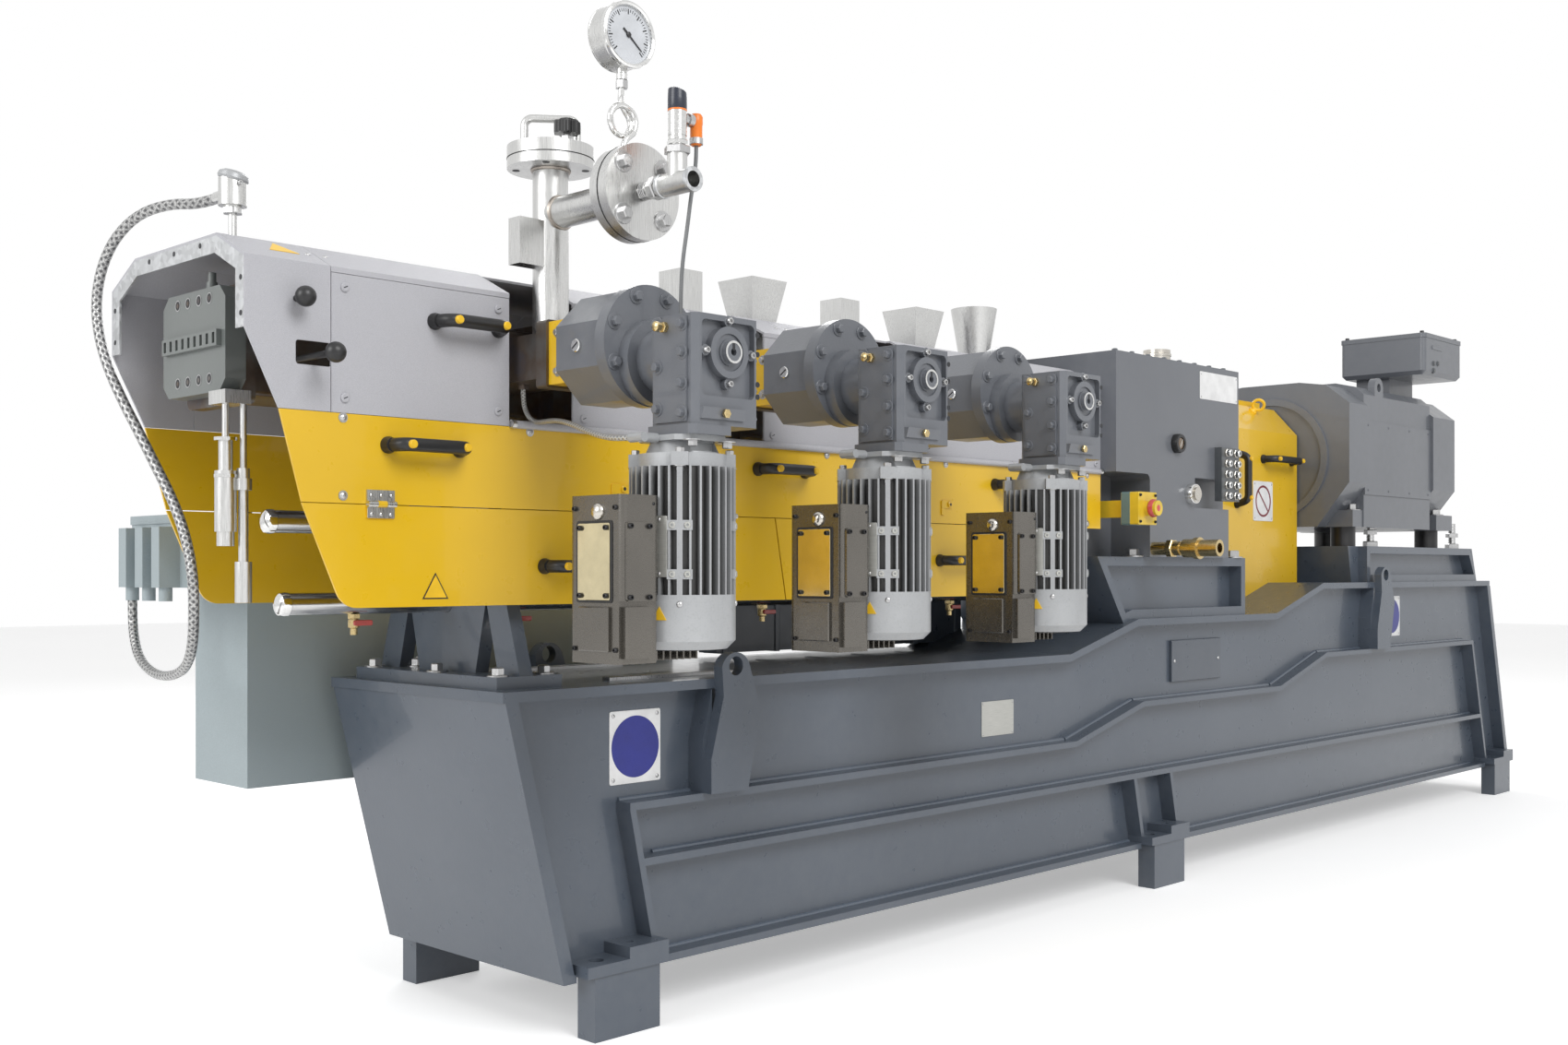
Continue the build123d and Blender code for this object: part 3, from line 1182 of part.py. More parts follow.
def vent_stack():
    """Vent pipe over the first feeder with its lid, flanged branch, tee, sensor and gauge."""
    x = FEEDER_X[0]
    bottom = SCREW_Z + FEEDER_BLOCK_HEIGHT / 2
    stem_bottom = BRANCH_Z + BRANCH_RADIUS + SIPHON_BOSS[1]
    sensor_y = -(TEE_NEAR + TEE_FAR) / 2
    with BuildPart() as stack:
        with BuildSketch(Plane.XY.offset(bottom)):
            with Locations((x, -STACK_Y)):
                Circle(STACK_RADIUS)
        extrude(amount=STACK_TOP - bottom)
        with BuildSketch(Plane.XY.offset(STACK_TOP - STACK_FLANGE)):
            with Locations((x, -STACK_Y)):
                Circle(FLANGE_RADIUS)
        extrude(amount=STACK_FLANGE)
        with BuildSketch(Plane.XZ.offset(STACK_Y)):
            with Locations((x, BRANCH_Z)):
                Circle(BRANCH_RADIUS)
        extrude(amount=BRANCH_END - STACK_Y)
        with BuildSketch(Plane.XZ.offset(BRANCH_END - BRANCH_FLANGE)):
            with Locations((x, BRANCH_Z)):
                Circle(PIPE_FLANGE_RADIUS)
        extrude(amount=BRANCH_FLANGE)
        add(stepped((x, -GAUGE_Y), BRANCH_Z, ((SIPHON_BOSS[0], stem_bottom - BRANCH_Z),), 1))
        with BuildSketch(Plane.XY.offset(STACK_BOX_Z)):
            with Locations((x - STACK_BOX[0], -STACK_Y)):
                Rectangle(STACK_BOX[0], STACK_BOX[1])
        extrude(amount=STACK_BOX[2])
        with BuildSketch(Plane.XY.offset(bottom)):
            with Locations((x, -STACK_Y)):
                Circle(STACK_RADIUS - STACK_WALL)
        extrude(amount=STACK_TOP - bottom, mode=Mode.SUBTRACT)
        with BuildSketch(Plane.XZ.offset(STACK_Y)):
            with Locations((x, BRANCH_Z)):
                Circle(BRANCH_RADIUS - STACK_WALL)
        extrude(amount=BRANCH_END - STACK_Y, mode=Mode.SUBTRACT)
    keep("vent_stack", stack.part)

    lid_top = STACK_TOP + LID_THICKNESS
    turn = radians(LID_HANDLE_TURN)
    across = Plane((x, -STACK_Y, lid_top), x_dir=(cos(turn), sin(turn), 0), z_dir=(sin(turn), -cos(turn), 0))
    with BuildPart() as lid:
        with BuildSketch(Plane.XY.offset(STACK_TOP)):
            with Locations((x, -STACK_Y)):
                Circle(FLANGE_RADIUS)
        extrude(amount=LID_THICKNESS)
        with BuildLine(across) as bow:
            FilletPolyline(
                (-LID_HANDLE, 0),
                (-LID_HANDLE, LID_HANDLE_RISE),
                (LID_HANDLE, LID_HANDLE_RISE),
                (LID_HANDLE, 0),
                radius=2 * LID_HANDLE_RADIUS,
            )
        with BuildSketch(Plane(origin=across.from_local_coords((-LID_HANDLE, 0)), z_dir=(0, 0, 1))):
            Circle(LID_HANDLE_RADIUS)
        sweep(path=bow.line)
    keep("vent_lid", lid.part)

    with BuildPart() as tee:
        with BuildSketch(Plane.XZ.offset(BRANCH_END)):
            with Locations((x, BRANCH_Z)):
                Circle(PIPE_FLANGE_RADIUS)
        extrude(amount=BLIND_FLANGE)
        with BuildSketch(Plane.XZ.offset(BRANCH_END + BLIND_FLANGE)):
            with Locations((x, BRANCH_Z)):
                RegularPolygon(NIPPLE_RADIUS, 6)
        extrude(amount=TEE_FAR - BRANCH_END - BLIND_FLANGE)
        with BuildSketch(Plane.XZ.offset(TEE_FAR)):
            with Locations((x, BRANCH_Z)):
                Circle(TEE_RADIUS)
        extrude(amount=TEE_NEAR - TEE_FAR)
        add(stepped((x, sensor_y), BRANCH_Z, ((TEE_RADIUS - COLLAR, SENSOR_BOTTOM - BRANCH_Z),), 1))
        with Locations(Plane.XZ.offset(TEE_NEAR)):
            with Locations((x, BRANCH_Z)):
                Hole(TEE_BORE, TEE_NEAR - TEE_FAR - TEE_BORE)
    keep("vent_tee", tee.part)

    with BuildPart() as sensor:
        add(stepped((x, sensor_y), SENSOR_BOTTOM, ((SENSOR_RADIUS, SENSOR_TOP - SENSOR_BOTTOM),), 1))
        with BuildSketch(Plane.YZ.offset(x)):
            with Locations((sensor_y, (PLUG_Z[0] + PLUG_Z[1]) / 2 + PLUG_SIZE)):
                Circle(PLUG_SIZE * 2 / 3)
        extrude(amount=PLUG_X)
        add(stepped((x + PLUG_X, sensor_y), PLUG_Z[0], ((PLUG_SIZE * 3 / 4, PLUG_Z[1] - PLUG_Z[0]),), 1))
    keep("vent_sensor", sensor.part)

    gauge_y = -GAUGE_Y
    case_bottom = GAUGE_Z - GAUGE_RADIUS
    loop_z = (stem_bottom + SIPHON_NUT[1] + case_bottom - GAUGE_NUT[1]) / 2
    with BuildPart() as siphon:
        add(stepped((x, gauge_y), stem_bottom, (SIPHON_NUT,), 1))
        stem = loop_z - SIPHON_LOOP - stem_bottom - SIPHON_NUT[1]
        add(stepped((x, gauge_y), stem_bottom + SIPHON_NUT[1], ((SIPHON_RADIUS, stem),), 1))
        upper = case_bottom - GAUGE_NUT[1] - loop_z - SIPHON_LOOP
        add(stepped((x, gauge_y), loop_z + SIPHON_LOOP, ((SIPHON_RADIUS, upper),), 1))
        with BuildSketch(Plane.YZ.offset(x)):
            with Locations((gauge_y, loop_z + SIPHON_LOOP)):
                Circle(SIPHON_RADIUS)
        revolve(axis=Axis((x, gauge_y, loop_z), (0, 1, 0)))
    keep("gauge_siphon", siphon.part)

    with BuildPart() as gauge:
        with BuildSketch(Plane.XZ.offset(-gauge_y - GAUGE_CASE / 2)):
            with Locations((x, GAUGE_Z)):
                Circle(GAUGE_RADIUS)
        extrude(amount=GAUGE_CASE)
        with BuildSketch(Plane.XZ.offset(-gauge_y + GAUGE_CASE / 2)):
            with Locations((x, GAUGE_Z)):
                Circle(GAUGE_RADIUS - GAUGE_RIM[0])
        extrude(amount=-GAUGE_RIM[1], mode=Mode.SUBTRACT)
        neck = (GAUGE_NUT[0], GAUGE_RADIUS / 2 + GAUGE_NUT[1])
        add(stepped((x, gauge_y), GAUGE_Z - GAUGE_RADIUS / 2, (neck,), -1))
    keep("pressure_gauge", gauge.part)


def motor_outline(scale):
    """Outline of a motor end bell, shrunk by scale towards the shaft line."""
    half = MOTOR_HALF
    right = [(150.0, MOTOR_BOTTOM), (half, 1030.0), (half, 1265.0), (177.0, 1323.0), (94.0, 1336.0)]
    whole = right + [(-y, z) for y, z in reversed(right)]
    return [(y * scale, SCREW_Z + (z - SCREW_Z) * scale) for y, z in whole]


def gear_end():
    """Pedestal, gear housing, coupling guard and motor frame."""
    toe_z = DECK_LOW + (PEDESTAL_TOE - RISE_1[0]) * (DECK_MID - DECK_LOW) / (RISE_1[1] - RISE_1[0])
    with BuildPart() as pedestal:
        with BuildSketch(Plane.XZ.offset(-PEDESTAL_HALF)) as side:
            Polygon(
                (PEDESTAL_FRONT, HOUSING_BOTTOM),
                (PEDESTAL_REAR, HOUSING_BOTTOM),
                (PEDESTAL_REAR, DECK_MID),
                (RISE_1[1], DECK_MID),
                (PEDESTAL_TOE, toe_z),
                align=None,
            )
        extrude(amount=2 * PEDESTAL_HALF)
        for start, depth in ((PEDESTAL_HALF, -PEDESTAL_POCKET), (-PEDESTAL_HALF, PEDESTAL_POCKET)):
            with BuildSketch(Plane.XZ.offset(start)):
                add(side.sketch_local)
                offset(amount=-PEDESTAL_RIM, kind=Kind.INTERSECTION, mode=Mode.REPLACE)
            extrude(amount=depth, mode=Mode.SUBTRACT)
    keep("gearbox_pedestal", pedestal.part)

    middle_x = (HOUSING_FRONT + HOUSING_REAR) / 2
    with BuildPart() as housing:
        with BuildSketch(Plane.XZ.offset(-HOUSING_HALF)):
            with Locations((middle_x, (HOUSING_BOTTOM + HOUSING_TOP) / 2)):
                Rectangle(HOUSING_LENGTH, HOUSING_TOP - HOUSING_BOTTOM)
        extrude(amount=2 * HOUSING_HALF)
        with BuildSketch(Plane.XZ.offset(HOUSING_HALF)):
            with Locations((HOUSING_FRONT, HOUSING_BOTTOM)):
                RectangleRounded(2 * RECESS_REAR, 2 * (RECESS_TOP - HOUSING_BOTTOM), RECESS_ROUND)
        extrude(amount=-RECESS_DEPTH, mode=Mode.SUBTRACT)
        with BuildSketch(Plane.XZ.offset(HOUSING_HALF)):
            Polygon(
                (HOUSING_FRONT + NOTCH[0], NOTCH_Z[1]),
                (HOUSING_REAR, NOTCH_Z[1]),
                (HOUSING_REAR, HOUSING_BOTTOM),
                (HOUSING_FRONT + NOTCH[1], HOUSING_BOTTOM),
                (HOUSING_FRONT + NOTCH[1], NOTCH_Z[0]),
                (HOUSING_FRONT + NOTCH[0], NOTCH_Z[0]),
                align=None,
            )
        extrude(amount=-NOTCH_DEPTH, mode=Mode.SUBTRACT)
    keep("gearbox_housing", housing.part)

    with BuildPart() as guard:
        with BuildSketch(Plane.YZ.offset(GUARD_FRONT)):
            Polygon(
                (-GUARD_HALF, DECK_MID),
                (GUARD_HALF, DECK_MID),
                (GUARD_HALF, GUARD_SHOULDER),
                (GUARD_HALF - GUARD_CHAMFER, GUARD_TOP),
                (-GUARD_HALF + GUARD_CHAMFER, GUARD_TOP),
                (-GUARD_HALF, GUARD_SHOULDER),
                align=None,
            )
        extrude(amount=GUARD_LENGTH)
        with BuildSketch(Plane.YZ.offset(GUARD_FRONT)):
            with Locations((0, GUARD_TOP)):
                Rectangle(GUARD_RIDGE[0], 2 * GUARD_RIDGE[1])
        extrude(amount=GUARD_LENGTH - GUARD_RIDGE[2])
        slope = deck_points()[3:5]
        with BuildSketch(Plane.XZ.offset(-GUARD_HALF - SEAM)):
            Polygon(
                (GUARD_FRONT - SEAM, DECK_MID - SEAM),
                (GUARD_FRONT - SEAM, DECK_MID),
                (slope[0][0], slope[0][1]),
                (slope[1][0], slope[1][1]),
                (GUARD_REAR + SEAM, DECK_HIGH),
                (GUARD_REAR + SEAM, DECK_MID - SEAM),
                align=None,
            )
            with Locations(((GUARD_FRONT + PEDESTAL_REAR) / 2, (DECK_MID + HOUSING_BOTTOM) / 2)):
                Rectangle(PEDESTAL_REAR - GUARD_FRONT, HOUSING_BOTTOM - DECK_MID)
        extrude(amount=2 * (GUARD_HALF + SEAM), mode=Mode.SUBTRACT)
    keep("coupling_guard", guard.part)

    front, toe = MOTOR_BASE_FRONT, MOTOR_BASE_TOE
    pocket_front = front + MOTOR_BASE_NOTCH[0] + PEDESTAL_RIM
    with BuildPart() as frame:
        with BuildSketch(Plane.XZ.offset(-PEDESTAL_HALF)):
            Polygon(
                (front, MOTOR_BASE_TOP),
                (MOTOR_BASE_REAR, MOTOR_BASE_TOP),
                (MOTOR_BASE_REAR + toe[1], DECK_HIGH),
                (front + toe[0], DECK_HIGH),
                align=None,
            )
        extrude(amount=2 * PEDESTAL_HALF)
        for side in (-1, 1):
            with BuildSketch(Plane.XY.offset(DECK_HIGH)):
                with Locations((front, side * PEDESTAL_HALF)):
                    Rectangle(2 * MOTOR_BASE_NOTCH[0], 2 * MOTOR_BASE_NOTCH[1])
            extrude(amount=MOTOR_BASE_TOP - DECK_HIGH, mode=Mode.SUBTRACT)
            with BuildSketch(Plane.XZ.offset(-side * PEDESTAL_HALF)):
                Polygon(
                    (pocket_front, MOTOR_BASE_TOP - PEDESTAL_RIM),
                    (MOTOR_BASE_REAR - PEDESTAL_RIM, MOTOR_BASE_TOP - PEDESTAL_RIM),
                    (MOTOR_BASE_REAR - PEDESTAL_RIM + toe[1], DECK_HIGH + PEDESTAL_RIM),
                    (pocket_front, DECK_HIGH + PEDESTAL_RIM),
                    align=None,
                )
            extrude(amount=side * PEDESTAL_POCKET, mode=Mode.SUBTRACT)
    keep("motor_frame", frame.part)


def main_motor():
    """Main motor with its end bells, feet, lifting ears and terminal box, on four rubber mounts."""
    body_front = MOTOR_FRONT + MOTOR_BELL
    body_rear = MOTOR_REAR - MOTOR_REAR_BELL
    half = MOTOR_BODY_HALF
    outer, inner, proud = MOTOR_RING
    mount_x = (MOTOR_FRONT + MOUNT_INSET[0], MOTOR_REAR - MOUNT_INSET[1])
    with BuildPart() as motor:
        with BuildSketch(Plane.YZ.offset(MOTOR_FRONT)):
            with Locations((0, MOTOR_RING_Z)):
                Circle(outer)
                Circle(inner, mode=Mode.SUBTRACT)
        extrude(amount=proud)
        with BuildSketch(Plane.YZ.offset(MOTOR_FRONT + proud)):
            Polygon(*motor_outline(1.0), align=None)
        extrude(amount=MOTOR_BELL - proud)
        with BuildSketch(Plane.YZ.offset(body_front)):
            Polygon(
                (-half, MOTOR_BOTTOM),
                (half, MOTOR_BOTTOM),
                (half, 1300.0),
                (210.0, 1325.0),
                (150.0, MOTOR_TOP),
                (-150.0, MOTOR_TOP),
                (-210.0, 1325.0),
                (-half, 1300.0),
                align=None,
            )
            with Locations((0, (MOTOR_COVER_Z[0] + MOTOR_COVER_Z[1]) / 2)):
                Rectangle(2 * (half + MOTOR_COVER), MOTOR_COVER_Z[1] - MOTOR_COVER_Z[0])
        extrude(amount=body_rear - body_front)
        with BuildSketch(Plane.YZ.offset(body_rear)):
            Polygon(*motor_outline(1.0), align=None)
        extrude(amount=MOTOR_REAR_BELL - MOTOR_REAR_TAPER)
        with BuildSketch(Plane.YZ.offset(MOTOR_REAR - MOTOR_REAR_TAPER)):
            Polygon(*motor_outline(1.0), align=None)
        with BuildSketch(Plane.YZ.offset(MOTOR_REAR)):
            Polygon(*motor_outline(MOTOR_TAPER_SCALE), align=None)
        loft()
        for x in mount_x:
            for side in (-1, 1):
                with BuildSketch(Plane.XY.offset(MOTOR_BOTTOM)):
                    with Locations((x, side * (MOTOR_FOOT_Y[0] + MOTOR_FOOT_Y[1]) / 2)):
                        Rectangle(MOTOR_FOOT_LENGTH, MOTOR_FOOT_Y[1] - MOTOR_FOOT_Y[0])
                extrude(amount=MOTOR_FOOT_HEIGHT)
        for side in (-1, 1):
            with BuildSketch(Plane.XZ.offset(-side * half)):
                with Locations((MOTOR_FRONT + EAR_X, EAR_Z)):
                    Circle(EAR_OUTER)
                with Locations((MOTOR_FRONT + EAR_X, EAR_Z - EAR_OUTER)):
                    Rectangle(2 * EAR_OUTER, 2 * EAR_OUTER)
                with Locations((MOTOR_FRONT + EAR_X, EAR_Z)):
                    Circle(EAR_HOLE / 2, mode=Mode.SUBTRACT)
            extrude(amount=side * EAR_THICK)
    keep("main_motor", motor.part)

    with BuildPart() as mounts:
        for x in mount_x:
            for side in (-1, 1):
                block = (MOUNT_RADIUS, MOTOR_BOTTOM - MOTOR_BASE_TOP)
                add(stepped((x, side * MOUNT_Y), MOTOR_BASE_TOP, (block,), 1))
    keep("motor_mounts", mounts.part)

    centre = (MOTOR_FRONT + TERMINAL_BOX_INSET, -TERMINAL_BOX_Y)
    with BuildPart() as box:
        with BuildSketch(Plane.XY.offset(TERMINAL_BOX_BOTTOM)):
            with Locations(centre):
                RectangleRounded(*TERMINAL_BOX, TERMINAL_LID)
        extrude(amount=TERMINAL_BOX_TOP - TERMINAL_LID - TERMINAL_BOX_BOTTOM)
        chamfer(box.edges().group_by(Axis.Z)[0], TERMINAL_CHAMFER)
        with BuildSketch(Plane.XY.offset(TERMINAL_BOX_TOP - TERMINAL_LID)):
            with Locations(centre):
                RectangleRounded(TERMINAL_BOX[0] + LID_THICK, TERMINAL_BOX[1] + LID_THICK, TERMINAL_LID)
        extrude(amount=TERMINAL_LID)
        with BuildSketch(Plane.XY.offset(MOTOR_TOP)):
            with Locations((centre[0], -TERMINAL_NECK_Y)):
                Rectangle(*TERMINAL_NECK)
        extrude(amount=TERMINAL_BOX_BOTTOM - MOTOR_TOP)
    keep("motor_terminal_box", box.part)


def housing_fittings():
    """Sight glass, filler, breather, stop button box, oil coupling and oil manifold."""
    face = HOUSING_HALF
    with BuildPart() as fittings:
        for (x, z, radius, proud), hollow in ((SIGHT_GLASS, True), (FILLER, False)):
            with BuildSketch(Plane.XZ.offset(face)):
                with Locations((HOUSING_FRONT + x, z)):
                    Circle(radius)
            extrude(amount=proud)
            with BuildSketch(Plane.XZ.offset(face + proud)):
                with Locations((HOUSING_FRONT + x, z)):
                    Circle(radius * 0.7)
            if hollow:
                extrude(amount=-proud / 2, mode=Mode.SUBTRACT)
            else:
                extrude(amount=proud / 3)
        x, y, radius, height = BREATHER
        cap = ((radius * 0.6, height / 3), (radius, height * 2 / 3))
        add(stepped((HOUSING_FRONT + x, y), HOUSING_TOP, cap, 1))
    keep("gearbox_fittings", fittings.part)

    width, depth, height = STOP_BOX
    x = HOUSING_FRONT + width / 2 + SEAM
    with BuildPart() as stop:
        with BuildSketch(Plane.XZ.offset(STOP_BOX_Y)):
            with Locations((x, STOP_BOX_Z)):
                RectangleRounded(width, height, STOP_STUB / 10)
        extrude(amount=depth)
        with BuildSketch(Plane.XZ.offset(STOP_BOX_Y)):
            with Locations((x, STOP_BOX_Z)):
                Rectangle(STOP_STUB, STOP_STUB)
        extrude(amount=HOUSING_HALF - RECESS_DEPTH - STOP_BOX_Y)
        with BuildSketch(Plane.XZ.offset(STOP_BOX_Y + depth)):
            with Locations((x, STOP_BOX_Z)):
                Circle(STOP_BUTTON[0])
        extrude(amount=STOP_BUTTON[1])
    keep("emergency_stop_box", stop.part)

    with BuildPart() as coupling:
        y = face
        for radius, length in VALVE_STEPS:
            with BuildSketch(Plane.XZ.offset(y)):
                with Locations((HOUSING_FRONT + VALVE_X, VALVE_Z)):
                    Circle(radius)
            extrude(amount=length)
            y += length
        with BuildSketch(Plane.XZ.offset(y)):
            with Locations((HOUSING_FRONT + VALVE_X, VALVE_Z)):
                Circle(VALVE_BORE)
        extrude(amount=-VALVE_STEPS[-1][1], mode=Mode.SUBTRACT)
    keep("oil_coupling", coupling.part)

    x0, x1, z0, z1 = MANIFOLD
    middle = (HOUSING_FRONT + (x0 + x1) / 2, (z0 + z1) / 2)
    with BuildPart() as manifold:
        with BuildSketch(Plane.XZ.offset(face)):
            with Locations(middle):
                Rectangle(x1 - x0, z1 - z0)
        extrude(amount=MANIFOLD_DEPTH)
        with BuildSketch(Plane.XZ.offset(face + MANIFOLD_DEPTH)):
            with Locations(middle):
                with GridLocations((x1 - x0) / 2, (z1 - z0) / PORT_ROWS, 2, PORT_ROWS):
                    Circle(PORT[0])
        extrude(amount=PORT[1])
    keep("oil_manifold", manifold.part)


def die_end_fittings():
    """Probes hanging under the die head and the probe head on the hood roof."""
    x0, x1, y0, y1, height = PROBE_BLOCK
    block_top = SCREW_Z + DIE_RISE - DIE_HEIGHT / 2
    with BuildPart() as probes:
        with BuildSketch(Plane.XY.offset(block_top)):
            with Locations(((x0 + x1) / 2, (y0 + y1) / 2)):
                Rectangle(x1 - x0, y1 - y0)
        extrude(amount=-height)
        add(stepped(TRANSDUCER, block_top - height, TRANSDUCER_STEPS, -1))
        add(stepped(PROBE_ROD, block_top - height, PROBE_ROD_STEPS, -1))
    keep("transducers", probes.part)

    with BuildPart() as head:
        add(stepped(HEAD, COVER_TOP, HEAD_STEPS, 1))
        with BuildSketch(Plane.XZ.offset(-HEAD[1])):
            with Locations((HEAD[0], HEAD_GLAND_Z)):
                Circle(HEAD_GLAND[0])
        extrude(amount=-HEAD_GLAND[1])
    keep("thermocouple", head.part)


def cord(name, diameter, route):
    """A flexible line: straight runs joined by tangent arcs as large as the runs allow."""
    points = [Vector(*p) for p in route]
    runs = [b - a for a, b in zip(points, points[1:])]
    radii = []
    for before, after in zip(runs, runs[1:]):
        half_turn = radians(before.get_angle(after)) / 2
        radii.append(ARC_SHARE * min(before.length, after.length) / tan(half_turn))
    with BuildPart() as tube:
        with BuildLine() as line:
            FilletPolyline(*points, radius=radii)
        with BuildSketch(Plane(origin=points[0], z_dir=runs[0])):
            Circle(diameter / 2)
        sweep(path=line.line)
    length = sum(edge.length for edge in line.edges())
    ratio = tube.part.volume / (pi * diameter ** 2 / 4 * length)
    print(name, "length", round(length), "volume ratio", round(ratio, 4), "radii", [round(r) for r in radii])
    keep(name, tube.part)


def inlets():
    """Feed inlets on the roof: two square tubes, two square funnels and a cone."""
    floor = INLET_FLOOR
    with BuildPart() as group:
        for x in TUBE_X:
            with BuildSketch(Plane.XY.offset(floor)):
                with Locations((x, 0)):
                    Rectangle(INLET, INLET)
                    Rectangle(INLET - 2 * INLET_WALL, INLET - 2 * INLET_WALL, mode=Mode.SUBTRACT)
            extrude(amount=COVER_TOP + TUBE_HEIGHT - floor)
        for x in FUNNEL_X:
            for wall, mode in ((0.0, Mode.ADD), (INLET_WALL, Mode.SUBTRACT)):
                with BuildSketch(Plane.XY.offset(floor)):
                    with Locations((x, 0)):
                        Rectangle(INLET - 2 * wall, INLET - 2 * wall)
                extrude(amount=COVER_TOP - floor, mode=mode)
                for z, size in ((COVER_TOP, INLET), (COVER_TOP + FUNNEL_HEIGHT, FUNNEL_TOP)):
                    with BuildSketch(Plane.XY.offset(z)):
                        with Locations((x, 0)):
                            Rectangle(size - 2 * wall, size - 2 * wall)
                loft(mode=mode)
    keep("roof_inlets", group.part)

    with BuildPart() as cone:
        with BuildSketch(Plane.XZ):
            Polygon(
                (CONE_X + CONE_BOTTOM, floor),
                (CONE_X + CONE_BOTTOM, COVER_TOP),
                (CONE_X + CONE_TOP, COVER_TOP + CONE_HEIGHT),
                (CONE_X + CONE_TOP - INLET_WALL, COVER_TOP + CONE_HEIGHT),
                (CONE_X + CONE_BOTTOM - INLET_WALL, COVER_TOP),
                (CONE_X + CONE_BOTTOM - INLET_WALL, floor),
                align=None,
            )
        revolve(axis=Axis((CONE_X, 0, 0), (0, 0, 1)))
    keep("cone_inlet", cone.part)


def far_side():
    """Control cabinet with its brackets, connector box with its plugs and the two water pipes."""
    with BuildPart() as cabinet:
        with BuildSketch(Plane.XY.offset(CABINET_BOTTOM)):
            with Locations((CABINET_FRONT + CABINET_LENGTH / 2, (CABINET_NEAR + CABINET_FAR) / 2)):
                Rectangle(CABINET_LENGTH, CABINET_FAR - CABINET_NEAR)
        extrude(amount=CABINET_TOP - CABINET_BOTTOM)
    keep("control_cabinet", cabinet.part)
    with BuildPart() as brackets:
        for share in BRACKET_SHARES:
            with BuildSketch(Plane.XZ.offset(-BASE_HALF)):
                with Locations((CABINET_FRONT + share * CABINET_LENGTH, DECK_LOW - BRACKET[1])):
                    Rectangle(*BRACKET)
            extrude(amount=-(CABINET_NEAR - BASE_HALF))
    keep("cabinet_brackets", brackets.part)

    box_bottom = CABINET_TOP + CONNECTOR_GAP
    near, far = CONNECTOR_Y
    middle = ((CONNECTOR_FRONT + CONNECTOR_REAR) / 2, (near + far) / 2)
    length = CONNECTOR_REAR - CONNECTOR_FRONT
    socket_x = CONNECTOR_FRONT - SOCKET[0] / 2
    with BuildPart() as box:
        with BuildSketch(Plane.XY.offset(box_bottom)):
            with Locations(middle):
                RectangleRounded(length, far - near, CONNECTOR_GAP)
        extrude(amount=CONNECTOR_TOP - CONNECTOR_LID - box_bottom)
        with BuildSketch(Plane.XY.offset(CONNECTOR_TOP - CONNECTOR_LID)):
            with Locations(middle):
                RectangleRounded(length + LID_THICK, far - near + LID_THICK, CONNECTOR_GAP)
        extrude(amount=CONNECTOR_LID)
        with BuildSketch(Plane.XY.offset(CABINET_TOP)):
            with Locations(((CABINET_FRONT + CONNECTOR_REAR) / 2, (CABINET_NEAR + far) / 2)):
                Rectangle(CONNECTOR_REAR - CABINET_FRONT, far - CABINET_NEAR)
        extrude(amount=CONNECTOR_GAP)
        for y in SOCKET_Y:
            with BuildSketch(Plane.XY.offset(box_bottom)):
                with Locations((socket_x, y)):
                    Rectangle(*SOCKET[:2])
            extrude(amount=SOCKET[2])
            add(stepped((socket_x, y), box_bottom, ((SOCKET_GLAND, box_bottom - SOCKET_GLAND_END),), -1))
    keep("connector_box", box.part)

    with BuildPart() as pipes:
        for z, x in ((HIGH_PIPE_Z, HIGH_PIPE_FRONT), (LOW_PIPE_Z, LOW_PIPE_FRONT)):
            with BuildSketch(Plane.YZ.offset(x)):
                with Locations((0, z)):
                    Circle(PIPE_RADIUS)
            extrude(amount=COVER_END - PIPE_END_GAP - x)
    keep("water_pipes", pipes.part)


base_frame()
feet()
lifting_lugs()
front_saddle()
barrels()
covers()
skirts()
handles()
feeder_barrels()
feeder_guards()
feeder_lanterns()
feeder_gearboxes()
inverter_boxes(feeder_motors())
vent_stack()
gear_end()
main_motor()
housing_fittings()
die_end_fittings()
inlets()
far_side()
cord("cord_hose", HOSE, HOSE_ROUTE)
cord("cord_sensor", SENSOR_CABLE, SENSOR_ROUTE)
cord("cord_motor", MOTOR_CABLE, MOTOR_ROUTE)

boxes = [piece.bounding_box() for name, piece in PIECES.items() if not name.startswith("cord_")]
low = Vector(min(b.min.X for b in boxes), min(b.min.Y for b in boxes), min(b.min.Z for b in boxes))
high = Vector(max(b.max.X for b in boxes), max(b.max.Y for b in boxes), max(b.max.Z for b in boxes))
shift = Vector(-(low.X + high.X) / 2, -(low.Y + high.Y) / 2, -low.Z)
print("shift", shift, "size", high - low)
for name, piece in PIECES.items():
    moved = piece.moved(Location(shift))
    moved.label = name
    export_step(moved, f"parts/{name}.step")
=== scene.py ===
"""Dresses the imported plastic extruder: finishes, fasteners, signs, fittings, hoses and the stage.

Lengths are in millimetres of the machine's own frame, as in the part's source: x from the die
end, y from the screw line to the far side, z from the floor.  They become metres when a piece
is made.  The routes of the cords, the stage and the finishes are in metres.
"""

